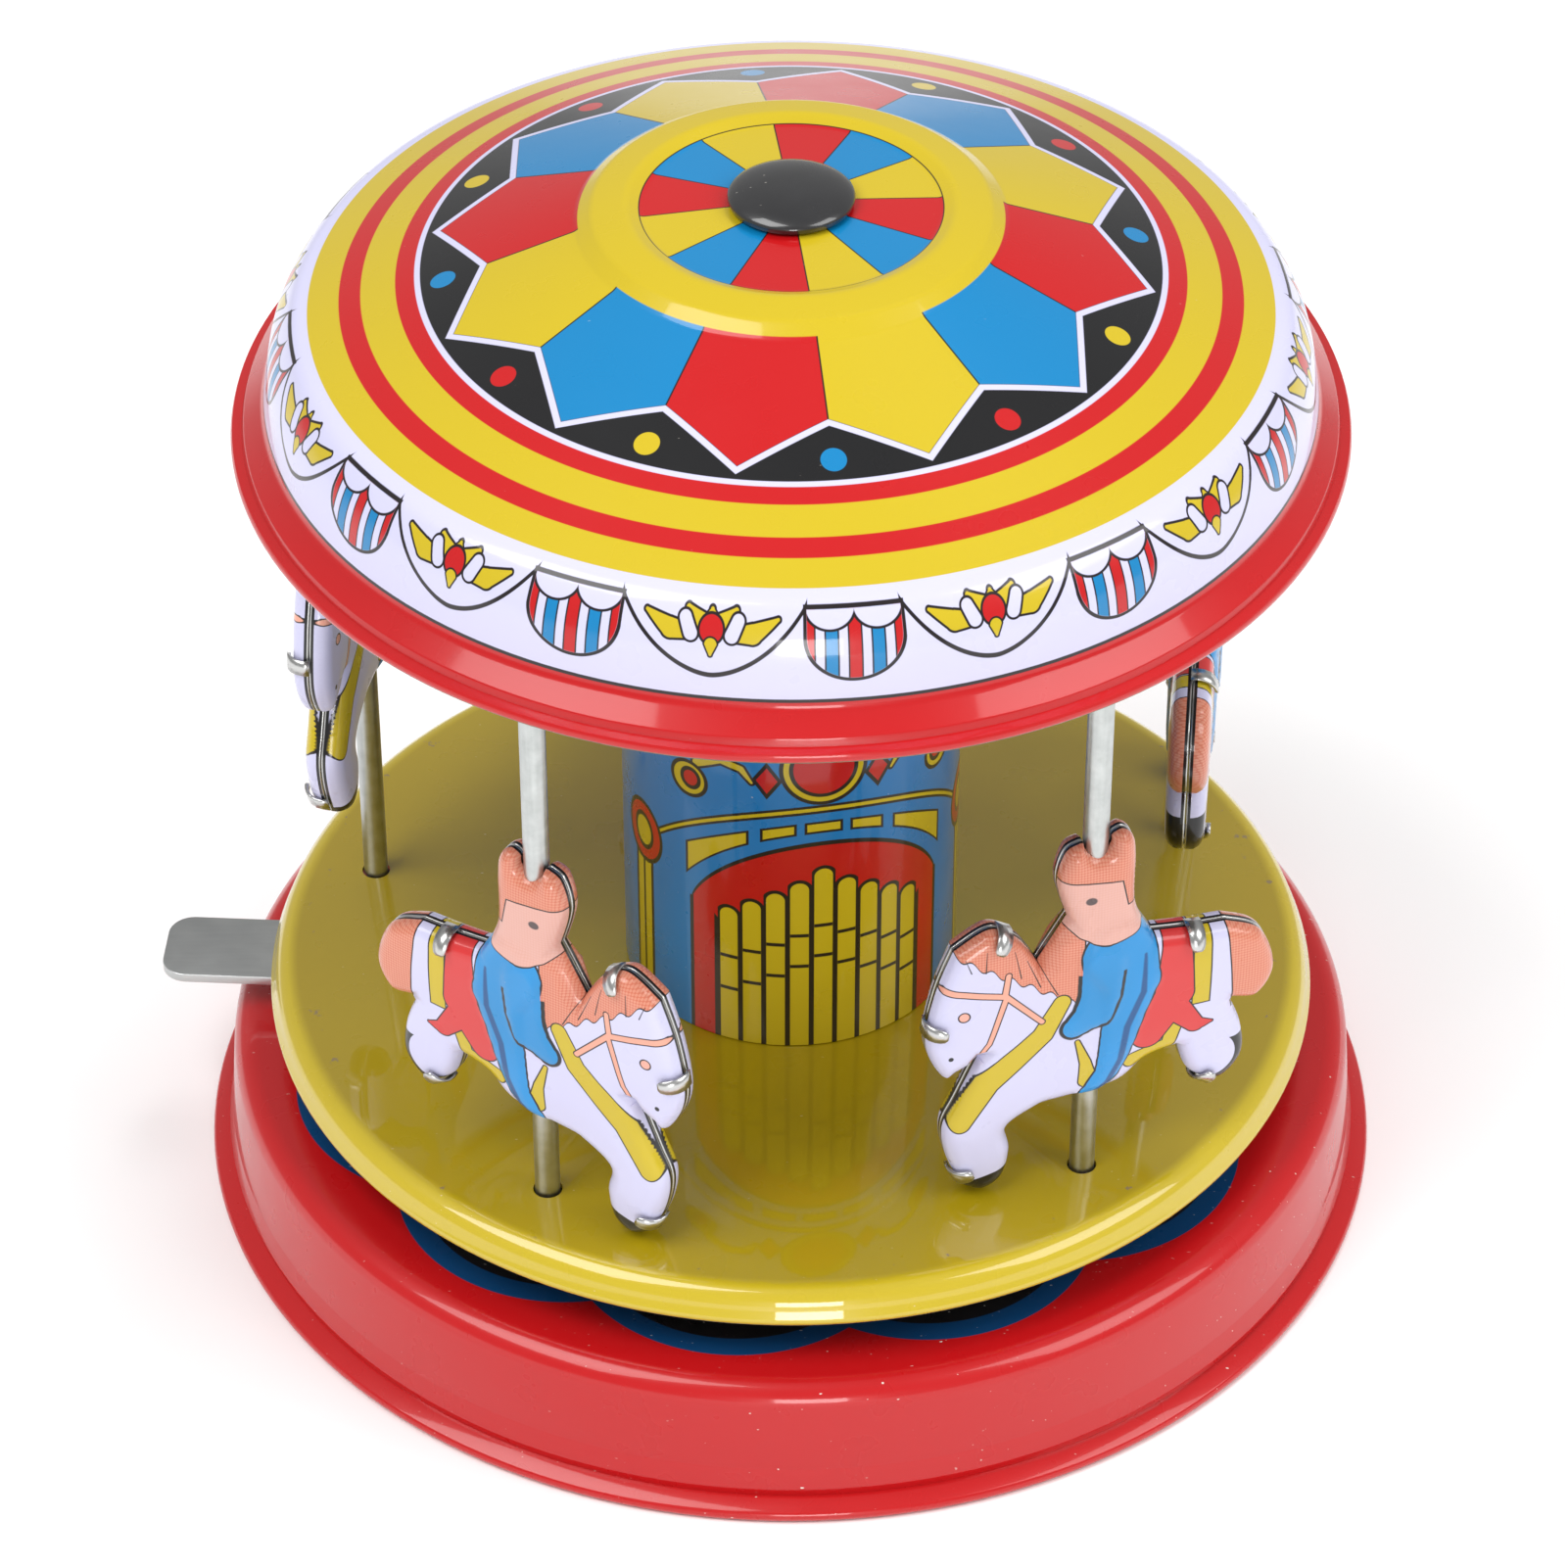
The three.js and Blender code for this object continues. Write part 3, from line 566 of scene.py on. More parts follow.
platform_edge = bead(CAROUSEL_RADIUS - BEAD, PLATFORM_EDGE + BEAD, BEAD, 180, 390)
platform_corners = [
    (CAROUSEL_RADIUS - 0.25, PLATFORM_EDGE + 1.3, 0),
    (CAROUSEL_RADIUS - 0.9, PLATFORM_TOP, 2.0),
    (3.0, PLATFORM_TOP, 0),
]
platform_bm = spun(sheet(platform_edge, platform_corners))
platform = finished("platform_sheet", platform_bm, platform_ink(), "carousel", ["platform"])


def pole_holes():
    """One mesh of five short round cutters, a little wider than the poles."""
    bm = bmesh.new()
    for pole in POLES:
        place = Matrix.Translation((pole.x * MM, pole.y * MM, (PLATFORM_TOP - 0.2) * MM))
        size = (POLE_RADIUS + 0.18) * MM
        bmesh.ops.create_cone(
            bm, cap_ends=True, segments=40, radius1=size, radius2=size, depth=3 * MM, matrix=place
        )
    mesh = bpy.data.meshes.new("pole_holes")
    bm.to_mesh(mesh)
    bm.free()
    cutter = bpy.data.objects.new("pole_holes", mesh)
    bpy.context.collection.objects.link(cutter)
    return cutter


cutter = pole_holes()
holes = platform.modifiers.new("pole holes", "BOOLEAN")
holes.object = cutter
holes.operation = "DIFFERENCE"
holes.solver = "EXACT"
evaluated = platform.evaluated_get(bpy.context.evaluated_depsgraph_get())
drilled = bpy.data.meshes.new_from_object(evaluated)
platform.modifiers.clear()
platform.data = drilled
bpy.data.objects.remove(cutter)
print("platform drilled:", len(drilled.polygons), "faces")

# %% [markdown]
# ## Poles
# Each pole is a drawn galvanised tube from its hole in the platform to the roof.

# %% Poles
for i, pole in enumerate(POLES, 1):
    bm = bmesh.new()
    bottom_z, top_z = low(f"pole_{i}").z, high(f"pole_{i}").z
    place = Matrix.Translation((pole.x * MM, pole.y * MM, (bottom_z + top_z) / 2 * MM))
    bmesh.ops.create_cone(
        bm,
        cap_ends=True,
        segments=40,
        radius1=POLE_RADIUS * MM,
        radius2=POLE_RADIUS * MM,
        depth=(top_z - bottom_z) * MM,
        matrix=place,
    )
    rims = [e for e in bm.edges if e.calc_face_angle(0) > 1.2]
    bmesh.ops.bevel(bm, geom=rims, offset=0.12 * MM, segments=2, profile=0.5, affect="EDGES", material=-1)
    finished(f"pole_tube_{i}", bm, GALVANISED, "carousel", [f"pole_{i}"])

# %% [markdown]
# ## Column
# The column is a rolled sheet printed as an organ front, twice round. The drawing is laid out in
# millimetres: `across` runs round the column from the middle of a front, and `up` is the height above
# the platform. Both halves of a front are alike, so one side is drawn and mirrored by its absolute.

# %% Column ink
FRONT_AZIMUTH = -79
PIPE_PITCH = 2.21
FRONT_DEGREE = COLUMN_RADIUS * math.pi / 180


def column_ink():
    ink = Ink("column_print", **VARNISH)
    azimuth, height = ink.round_place()[1:]
    across = (azimuth - FRONT_AZIMUTH).wrap(180) * FRONT_DEGREE
    side = abs(across)
    up = height - PLATFORM_TOP

    def layer(colour, shape, tone, line=0.2):
        """A printed shape with its black outline."""
        colour = ink.mix(colour, LINE, (shape - line).inside())
        return ink.mix(colour, tone, (shape + line).inside())

    colour = ink.mix(BLUE, rgb(0.02, 0.16, 0.48), ink.noise(40, 2.0))
    # Pillars with an oval at the top of each
    pillar = (abs(side - 19.3) - 1.35).most(up - 19)
    colour = layer(colour, pillar, YELLOW)
    colour = ink.mix(colour, LINE, (abs(side - 19.3) - 0.16).most(up - 19).inside())
    # Curved band over the front
    droop = side * side * 0.0212 + (side * side) * (side * side) * 0.0000126
    band = abs(up + droop - 28.3) - 0.34
    colour = layer(colour, band.most(side - 19.3), YELLOW, 0.15)
    colour = layer(colour, oval(side, up, 19.3, 19.8, 2.8, 3.3), RED)
    colour = layer(colour, oval(side, up, 19.3, 19.8, 1.45, 1.85), YELLOW)
    # Windows between the band and the arch
    head = up - (26.75 - side * side * 0.0262)
    sill = (25.65 - side * side * 0.0308 - (side * side) * (side * side) * 0.000054) - up
    pane = (side - 1.65).least(abs(side - 4.15) - 1.55).least(abs(side - 10.1) - 3.1)
    colour = layer(colour, head.most(sill).most(pane), YELLOW, 0.13)
    # Arch, with nine organ pipes standing in it
    rise = (1 - (side / 12.7) * (side / 12.7)).most(0) ** 0.75
    arch = (side - 12.7).most((up - 15.8 - rise * 8.5) * 0.8)
    colour = layer(colour, arch, RED)
    cell = across.wrap(PIPE_PITCH)
    order = abs((across - cell) / PIPE_PITCH)
    top = 21.3 - order * 1.25 - order.least(1) * 0.3
    pipe = (abs(cell) - 0.86).most(up - top + 0.86)
    crown = up - top + 0.86
    pipe = pipe.least((cell * cell + crown * crown) ** 0.5 - 0.86).most(side - 9.9)
    colour = ink.mix(colour, LINE, (pipe - 0.4).inside())
    colour = ink.mix(colour, YELLOW, pipe.inside())
    for base, step in ((14.6, 1.1), (11.0, 1.17)):
        bar = abs(up - base + order * step) - 0.2
        colour = ink.mix(colour, LINE, bar.most(pipe).inside())
    # Disc, diamonds and scrolls above the front
    colour = layer(colour, circle(side, up, 0, 32.9, 3.9), YELLOW)
    colour = layer(colour, circle(side, up, 0, 32.9, 3.0), RED)
    diamond = (abs(side - 5.2) * 1.5 + abs(up - 31.6) - 1.8) * 0.6
    colour = layer(colour, diamond, RED)
    scroll = [(6.6, 31.2, 0.25), (7.6, 32.6, 0.45), (9.6, 33.1, 0.5), (12.0, 31.9, 0.55)]
    colour = layer(colour, stroke(side, up, scroll), YELLOW, 0.13)
    colour = layer(colour, oval(side, up, 12.9, 29.7, 1.9, 1.9), YELLOW)
    colour = layer(colour, oval(side, up, 12.7, 29.8, 0.95, 1.05), RED)
    # Upper half: stripes and a second row of discs, up to a red frieze
    colour = layer(colour, (abs(side - 19.3) - 0.7).most(40 - up).most(up - 74), YELLOW, 0.13)
    colour = layer(colour, (abs(side - 6.5) - 0.45).most(42 - up).most(up - 68), YELLOW, 0.12)
    colour = layer(colour, oval(side, up, 13, 55, 2.6, 7), RED)
    colour = layer(colour, oval(side, up, 13, 55, 1.3, 4.4), YELLOW)
    colour = layer(colour, oval(side, up, 0, 55, 3.4, 9), YELLOW)
    colour = layer(colour, oval(side, up, 0, 55, 2.5, 7.6), RED)
    colour = layer(colour, 74 - up, RED)
    colour = layer(colour, abs(up - 74.6) - 0.3, YELLOW, 0.12)
    wear(ink, colour, 0.7)
    return ink.material


column_inside = COLUMN_RADIUS - TIN
column_section = rounded(
    [
        (column_inside, low("column").z, 0.1),
        (COLUMN_RADIUS, low("column").z, 0.1),
        (COLUMN_RADIUS, COLUMN_TOP, 0.1),
        (column_inside, COLUMN_TOP, 0.1),
    ],
    2,
)
column_bm = spun(column_section, 120)
finished("column_sheet", column_bm, column_ink(), "carousel", ["column"])

# %% [markdown]
# ## Roof
# The roof is one pressed sheet: a flared rim, a steep printed skirt, a shallow cone and a raised ring
# round the crown. It is printed in rings and in twelve-fold stars, so most shapes are drawn once in a
# wrapped azimuth and take their ink from which of the twelve sectors they fall in.

# %% Roof ink
PETALS = 30
PETAL_AZIMUTH = -98.4
VALLEY_AZIMUTH = PETAL_AZIMUTH + PETALS / 2
TIP_RADIUS, VALLEY_RADIUS = 31.0, 26.4
SKIRT_RADIUS = 45.0
SKIRT_FOOT = ROOF_EDGE + 4.4


def roof_ink():
    ink = Ink("roof_print", **VARNISH)
    radius, azimuth, height = ink.round_place()
    turn = (azimuth - PETAL_AZIMUTH).wrap(PETALS)
    valley = (azimuth - VALLEY_AZIMUTH).wrap(PETALS)
    degree = math.pi / 180

    def three(colour, mask, order, inks):
        for k, tone in enumerate(inks):
            pick = order.math("COMPARE", order, k, 0.4)
            colour = ink.mix(colour, tone, mask * pick)
        return colour

    petal_order = ((azimuth - PETAL_AZIMUTH - turn) / PETALS + 24)
    petal_order = petal_order.math("MODULO", petal_order + 0.01, 3)
    valley_order = ((azimuth - VALLEY_AZIMUTH - valley) / PETALS + 24)
    valley_order = valley_order.math("MODULO", valley_order + 0.01, 3)

    # Rings, from the rim inwards: each covers what is inside its radius.
    colour = ink.mix(RED, LINE, (SKIRT_FOOT - 0.16 - height).inside())
    colour = ink.mix(colour, PALE, (SKIRT_FOOT + 0.16 - height).inside())
    rings = [(42.14, YELLOW), (39.35, RED), (37.43, YELLOW), (34.37, RED), (32.7, PALE), (32.2, BLACK)]
    for edge, tone in rings:
        colour = ink.mix(colour, tone, (radius - edge).inside(0.04))

    # Twelve petals: straight edges from each tip to the valleys beside it.
    side = abs(turn) * degree
    across, out = radius * side.math("SINE", side), radius * side.math("COSINE", side)
    half = PETALS / 2 * degree
    tip = Vector((0, TIP_RADIUS))
    dip = Vector((VALLEY_RADIUS * math.sin(half), VALLEY_RADIUS * math.cos(half)))
    along = (dip - tip).normalized()
    normal = Vector((-along.y, along.x))
    petal = (across - tip.x) * normal.x + (out - tip.y) * normal.y
    colour = ink.mix(colour, PALE, (petal - 0.55).inside(0.04))
    colour = ink.mix(colour, LINE, petal.inside(0.04))
    inner_petal = (petal + 0.05).most(0.07 - radius * (half - side))
    colour = three(colour, inner_petal.inside(0.03), petal_order, (RED, YELLOW, BLUE))

    # A dot in each black triangle
    swing = valley * degree
    dot = circle(radius * swing.math("SINE", swing), radius * swing.math("COSINE", swing), 0, 30.25, 1.1)
    colour = three(colour, dot.inside(), valley_order, (BLUE, RED, YELLOW))

    # Raised ring and the twelve sectors inside it
    colour = ink.mix(colour, YELLOW, (radius - 18.46).inside(0.04))
    gap = radius * (half - side)
    colour = ink.mix(colour, LINE, (radius - 13.2).inside())
    colour = three(colour, (radius - 13.1).most(0.06 - gap).inside(), petal_order, (RED, YELLOW, BLUE))

    # Skirt: striped shields under the valleys, flowered swags under the petals
    def printed(colour, shape, tone, line=0.3):
        colour = ink.mix(colour, LINE, (shape - line).inside())
        return ink.mix(colour, tone, shape.inside())

    on_skirt = (42.32 - radius).inside()
    u = valley * (SKIRT_RADIUS * degree)
    w = abs(u)
    v = height - SKIRT_FOOT
    plain = colour
    shield = (w - 3.95).most(v - 7.45).most(oval(u, v, 0, 5.6, 3.95, 3.6).least(5.6 - v))
    colour = printed(colour, shield, PALE)
    stripe_cell = u.wrap(1.92)
    stripe_order = abs((u - stripe_cell) / 1.92)
    stripe_order = stripe_order.math("MODULO", stripe_order + 0.01, 2)
    red_stripe = ink.mix(BLUE, RED, stripe_order.below(0.5))
    colour = ink.mix(colour, red_stripe, (abs(stripe_cell) - 0.52).most(shield).inside())
    colour = ink.mix(colour, LINE, (abs(abs(stripe_cell) - 0.54) - 0.07).most(shield).inside())
    lobes = oval(w, v, 2.0, 7.75, 2.05, 1.65)
    colour = ink.mix(colour, LINE, (lobes - 0.2).most(shield).inside())
    colour = ink.mix(colour, PALE, lobes.most(shield).inside())
    a = turn * (SKIRT_RADIUS * degree)
    b = abs(a)
    rope = abs(v - 2.1 - (b / 7.5) ** 1.75 * 5.2) * 0.8 - 0.18
    colour = ink.mix(colour, LINE, rope.most(b - 7.9).inside())
    wing = stroke(b, v, [(1.7, 5.6, 0.5), (3.4, 5.7, 0.75), (5.5, 6.8, 0.12)])
    colour = printed(colour, wing, YELLOW, 0.2)
    crown = stroke(b, v, [(0, 6.3, 1.0), (0, 7.3, 0.15)])
    crown = crown.least(stroke(b, v, [(0.9, 6.4, 0.7), (2.0, 7.3, 0.2)]))
    colour = printed(colour, crown, YELLOW, 0.2)
    colour = printed(colour, stroke(b, v, [(1.7, 5.5, 0.55), (2.2, 6.6, 0.5)]), PALE, 0.2)
    colour = printed(colour, oval(b, v, 0, 5.9, 0.95, 1.05), RED, 0.2)
    colour = printed(colour, stroke(b, v, [(0, 4.75, 0.5), (0, 3.9, 0.1)]), YELLOW, 0.16)
    colour = ink.mix(plain, colour, on_skirt)
    wear(ink, bare_inside(ink, colour), 0.5)
    return ink.material


print("roof ink ready")

# %% [markdown]
# ## Pressing the roof
# The flared rim, the steep skirt, the cone and the raised ring are one line of rounded corners, so the
# whole sheet is spun in one go. The button on top is a second, smaller turned shape.

# %% Roof
roof_edge = bead(CAROUSEL_RADIUS - BEAD, ROOF_EDGE + BEAD, BEAD, 180, 400)
cone_foot = (CAROUSEL_RADIUS - 7.2, SKIRT_FOOT + 8.2)
ring_foot = cone_foot[1] + 8.6
roof_corners = [
    (CAROUSEL_RADIUS - 1.0, ROOF_EDGE + 1.3, 0),
    (CAROUSEL_RADIUS - 1.2, ROOF_EDGE + 2.0, 0.4),
    (CAROUSEL_RADIUS - 3.0, ROOF_EDGE + 3.7, 1.2),
    (CAROUSEL_RADIUS - 3.9, SKIRT_FOOT + 5.0, 9.0),
    (cone_foot[0] + 1.3, cone_foot[1] - 0.35, 2.6),
    (18.8, ring_foot - 0.15, 1.2),
    (17.3, ring_foot + 0.95, 1.5),
    (14.3, ring_foot + 1.55, 1.5),
    (12.9, ring_foot + 0.95, 1.0),
    (2.2, ROOF_TOP - 0.05, 0),
]
roof_bm = spun(sheet(roof_edge, roof_corners))
finished("roof_sheet", roof_bm, roof_ink(), "carousel", ["roof"])


# %% Roof cap
def cap_ink():
    ink = Ink("cap_enamel", Coat_Weight=1.0, Coat_Roughness=0.04)
    wear(ink, ink.mix(BLACK, rgb(0.02, 0.02, 0.022), ink.noise(300)), 1.3)
    return ink.material


CAP_HOLE = 2.2
CAP_SHELL = 0.5
cap_bottom, cap_top = low("roof_cap").z, high("roof_cap").z
dome_foot = cap_bottom + 0.35
dome_height = cap_top - dome_foot
dome = [Vector((p.x * CAP_RADIUS, dome_foot + p.y * dome_height)) for p in bead(0, 0, 1, 0, 90, 16)]
cap_line = [Vector((CAP_HOLE, cap_bottom)), Vector((CAP_RADIUS - 0.12, cap_bottom)), *dome]
cap_line += [Vector((0, cap_top - CAP_SHELL)), Vector((CAP_HOLE, cap_top - CAP_SHELL))]
finished("roof_cap_button", spun(cap_line, 96), cap_ink(), "carousel", ["roof_cap"])

# %% [markdown]
# ## Riders
# Each rider is a pair of pressed halves, closed round the pole and held by bent tabs. One outline
# serves all five. It is a list of smooth stretches that meet at the sharp corners of the figure, with a
# round notch at the top where the pole goes in.

# %% Rider outline
RIDER_OUTLINE = [
    [(1.6, 38.0), (2.9, 37.2), (3.6, 34.2), (2.6, 30.2)],
    [(2.6, 30.2), (5.2, 25.6)],
    [(5.2, 25.6), (7.0, 28.5), (9.6, 30.1), (12.9, 28.3)],
    [(12.9, 28.3), (14.5, 23.7), (15.3, 18.2), (13.8, 14.3), (12.5, 14.7)],
    [(12.5, 14.7), (10.4, 15.7)],
    [(10.4, 15.7), (12.4, 10.9), (13.6, 7.9), (13.2, 4.5), (11.8, 0.9)],
    [(11.8, 0.9), (10.0, 0.0), (8.0, 1.1), (7.3, 4.1), (7.6, 7.1), (4.5, 9.1)],
    [(4.5, 9.1), (-2.3, 10.0), (-5.2, 12.3), (-8.2, 13.1)],
    [(-8.2, 13.1), (-9.4, 9.6), (-12.2, 8.1), (-14.4, 10.5), (-14.2, 14.0), (-12.9, 17.5)],
    [(-12.9, 17.5), (-15.5, 17.3), (-17.0, 20.3), (-15.6, 24.4), (-12.4, 26.1)],
    [(-12.4, 26.1), (-8.9, 26.2), (-5.5, 26.5)],
    [(-5.5, 26.5), (-3.7, 30.4), (-3.5, 35.9), (-3.2, 38.0), (-2.3, 38.85), (-1.5, 38.6)],
]
NOTCH_HEIGHT = 38.0
RIDER_HALF = 2.3
RIDER_ROUND = 1.5
RIDER_TIN = 0.28
RIDER_SEAM = 0.06
RIDER_LIP = 0.5
LIFTS = [low(f"rider_{i}_outer_half").z for i in range(1, 6)]


def smooth_line(points, steps=10):
    """A Catmull-Rom line through the points, without its first one."""
    if len(points) == 2:
        return [Vector(points[1])]
    path = [Vector(points[0])] + [Vector(p) for p in points] + [Vector(points[-1])]
    line = []
    for a, b, c, d in zip(path, path[1:], path[2:], path[3:]):
        for k in range(1, steps + 1):
            t = k / steps
            bend = (2 * a - 5 * b + 4 * c - d) * t * t + (3 * b - a - 3 * c + d) * t**3
            line.append((2 * b + (c - a) * t + bend) / 2)
    return line


def rider_outline():
    size = POLE_RADIUS + 0.15
    notch = [
        Vector((size * math.cos(math.radians(a)), NOTCH_HEIGHT + size * math.sin(math.radians(a))))
        for a in range(165, 361, 15)
    ]
    line = notch + [Vector(RIDER_OUTLINE[0][0])]
    for stretch in RIDER_OUTLINE:
        line += smooth_line(stretch)
    return line


outline = rider_outline()
print("rider outline", len(outline), "points")

# Raised parts of the figure, as brush strokes: each is printed and also pressed into the tin
BODY = [(-2.1, 25.8, 3.6), (-3.2, 22.5, 2.75), (-2.6, 18.5, 2.0)]
BODY += [(-1.9, 14.5, 1.55), (-1.3, 12.2, 1.2), (0.3, 9.8, 0.95)]
SLEEVE = [(-0.5, 25.4, 2.1), (-0.3, 21.6, 1.95), (0.3, 19.6, 1.9), (2.0, 18.2, 1.25)]
SHADE = [(-4.4, 25.4, 0.15), (-4.3, 21.2, 0.3), (-2.9, 17.4, 0.32)]
SHADE += [(-2.4, 13.6, 0.3), (-1.3, 11.2, 0.24), (0.4, 9.5, 0.1)]

# %% [markdown]
# ## Print on the riders
# Horse and rider are one lithographed picture: areas of ink with a thin black outline, and dots that
# mix two pinks. Every area is an oval, a brush stroke or a curve in the figure's own coordinates, which
# are kept on the mesh, so the print follows a half wherever it stands.

# %% Rider ink
def rider_ink():
    ink = Ink("rider_print", **VARNISH)
    own = ink.node("ShaderNodeAttribute", {"attribute_name": "figure"})
    parts = ink.node("ShaderNodeSeparateXYZ", sockets={0: own.outputs["Vector"]})
    x, y, depth = [ink.number(parts.outputs[i]) for i in range(3)]

    def layer(colour, shape, tone, line=0.07):
        colour = ink.mix(colour, LINE, (shape - line).inside(0.025))
        return ink.mix(colour, tone, (shape + line).inside(0.025))

    dots = ink.node("ShaderNodeMapping", sockets={"Vector": own.outputs["Vector"], "Scale": (1, 1, 0)})
    grid = ink.node(
        "ShaderNodeTexVoronoi", sockets={"Vector": dots.outputs[0], "Scale": 3.6, "Randomness": 0.0}
    )
    halftone = ink.number(grid.outputs["Distance"])
    salmon = ink.mix(SALMON, rgb(0.68, 0.27, 0.18), (halftone - 0.42).inside(0.08))
    white = ink.mix(PALE, rgb(0.55, 0.52, 0.72), (ink.noise(60, 1.0) - 0.45).most(0).least(0.25))
    colour = white
    # Hooves
    colour = ink.mix(colour, BLACK, (y - 1.9 + (x - 11.2) * 0.25).inside())
    hind = (2.55 - circle(x, y, -10.9, 11.7, 0)).most(x + 9).most(y - 13.4)
    colour = ink.mix(colour, BLACK, hind.inside())
    # Tail and mane
    colour = layer(colour, (x + 12.75 - (y - 20) * 0.09).most(16.6 - y), salmon)
    wave = x.math("SINE", x * 3.4) * 0.3
    mane = (21.2 + (x - 2.2) * 0.67 + wave - y).most(1.2 - x)
    colour = layer(colour, mane, salmon)
    for start, end in (((3.6, 22.4), (5.4, 26)), ((5.2, 23.6), (6.4, 26.6)), ((7.0, 25.0), (7.6, 28)),
                       ((10.3, 26.4), (10.2, 28.6)), ((11.6, 26.6), (12.1, 28))):
        crease = stroke(x, y, [(*start, 0.06), (*end, 0.03)])
        colour = ink.mix(colour, LINE, crease.inside(0.03))
    # Saddle cloth, girth and border
    colour = layer(colour, (abs(x + 9.85) - 0.85).most(18.3 - y), YELLOW)
    colour = layer(colour, stroke(x, y, [(-7.5, 16.4, 0.75), (-7.0, 14.1, 0.7), (-3.6, 12.9, 0.8)]), YELLOW)
    cloth = stroke(x, y, [(-7.5, 27.0, 1.25), (-7.3, 20.0, 1.9), (-5.0, 15.6, 1.5)])
    flick = stroke(x, y, [(-7.8, 17.9, 1.3), (-9.4, 15.9, 0.9), (-11.0, 15.9, 0.15)])
    colour = layer(colour, cloth.least(flick), rgb(0.62, 0.035, 0.035))
    # Breast harness, girth strap and bridle
    harness = [(3.2, 21.4, 0.85), (4.9, 18.0, 1.05), (7.6, 15.4, 1.15), (9.9, 13.2, 1.2), (12.3, 8.9, 1.0)]
    colour = layer(colour, stroke(x, y, harness), YELLOW)
    strap = [(1.6, 16.4, 0.25), (0.8, 13.8, 0.55), (0.5, 11.6, 0.9)]
    colour = layer(colour, stroke(x, y, strap), YELLOW)
    bridle = stroke(x, y, [(8.2, 25.6, 0.3), (8.5, 23.4, 0.32), (5.0, 19.6, 0.3)])
    bridle = bridle.least(stroke(x, y, [(8.5, 23.3, 0.34), (13.9, 24.7, 0.34)]))
    bridle = bridle.least(stroke(x, y, [(8.4, 23.0, 0.3), (9.8, 18.0, 0.26), (12.7, 13.6, 0.16)]))
    colour = layer(colour, bridle, rgb(0.80, 0.36, 0.26), 0.06)
    colour = layer(colour, circle(x, y, 12.2, 21.7, 0.52), rgb(0.78, 0.38, 0.3), 0.07)
    colour = ink.mix(colour, BLACK, circle(x, y, 13.3, 17.0, 0.24).inside())
    # Rider: body, leg and arm, each with a darker line of shade
    blue = ink.mix(BLUE, rgb(0.02, 0.30, 0.72), ink.noise(120, 1.0))
    colour = layer(colour, stroke(x, y, BODY), blue, 0.08)
    shade = stroke(x, y, SHADE)
    colour = ink.mix(colour, rgb(0.008, 0.06, 0.20), shade.inside(0.08) * 0.9)
    sleeve = stroke(x, y, SLEEVE)
    colour = ink.mix(colour, BLACK, (abs(sleeve + 0.05) - 0.2).most(y - 24.2).inside(0.05))
    colour = ink.mix(colour, blue, (sleeve + 0.2).inside())
    # Head: face, hair and eye
    head = (27.4 + (x + 1.0) * (x + 1.0) * 0.13 - y).most(x - 6).most(-5 - x)
    colour = layer(colour, head, ink.mix(PINK, rgb(0.70, 0.39, 0.33), (halftone - 0.4).inside(0.1)))
    hair = (34.3 + x * 0.12 - y).least((x + 2.2 + (33.4 - y) * 0.22).most(31.2 - y))
    colour = layer(colour, hair.most(head), salmon)
    colour = ink.mix(colour, rgb(0.09, 0.06, 0.06), oval(x, y, 0.8, 32.4, 0.52, 0.42).inside(0.05))
    # Side walls: a black band of painted shade for the dark seam between the halves, then the bare cut edge
    # of the tin
    colour = ink.mix(colour, BLACK, (depth - 0.46).inside(0.02))
    edge = (depth - 0.18).inside(0.03)
    colour = ink.mix(colour, rgb(0.55, 0.55, 0.54), edge)
    ink.feed("Metallic", edge)
    wear(ink, colour, 0.5)
    return ink.material


RIDER_INK = rider_ink()
print("rider ink ready:", len(RIDER_INK.node_tree.nodes), "nodes")

# %% [markdown]
# ## Pressing a rider
# A stamped half is flat in the middle, rounded at its edge, and raised where the body and arm are.
# Triangles are laid close together near the edge, where the form turns, and wide apart in the middle.

# %% Pressed shape of a rider
RISE = [(BODY, 0.32, 0.5), (SLEEVE, 0.26, 0.4)]
TABS = [(8.4, 29.6), (14.9, 20.4), (-9.3, 26.2), (-10.6, 8.9), (12.4, 2.6)]


def stroke_distance(x, y, points):
    """The same brush stroke as in the material, for a point of the mesh."""
    best = 1e9
    for (ax, ay, ar), (bx, by, br) in zip(points, points[1:]):
        dx, dy = bx - ax, by - ay
        along = min(max(((x - ax) * dx + (y - ay) * dy) / (dx * dx + dy * dy), 0), 1)
        best = min(best, math.hypot(x - ax - along * dx, y - ay - along * dy) - along * (br - ar) - ar)
    return best


def smoothstep(t):
    t = min(max(t, 0), 1)
    return t * t * (3 - 2 * t)


def to_outline(point):
    """Distance from a point to the nearest edge of the outline, and whether it lies inside."""
    best = 1e9
    inside = False
    for a, b in zip(outline, outline[1:] + outline[:1]):
        edge = b - a
        along = min(max((point - a).dot(edge) / edge.length_squared, 0), 1)
        best = min(best, (point - a - edge * along).length)
        if (a.y > point.y) != (b.y > point.y) and point.x < a.x + (point.y - a.y) * edge.x / edge.y:
            inside = not inside
    return best, inside


FACE_STEP = 0.55  # between the points in the middle of the face
FACE_MARGIN = 1.55  # the middle starts this far from the outline
EDGE_RINGS = (0.02, 0.07, 0.15, 0.27, 0.42, 0.6, 0.82, 1.1, 1.4)


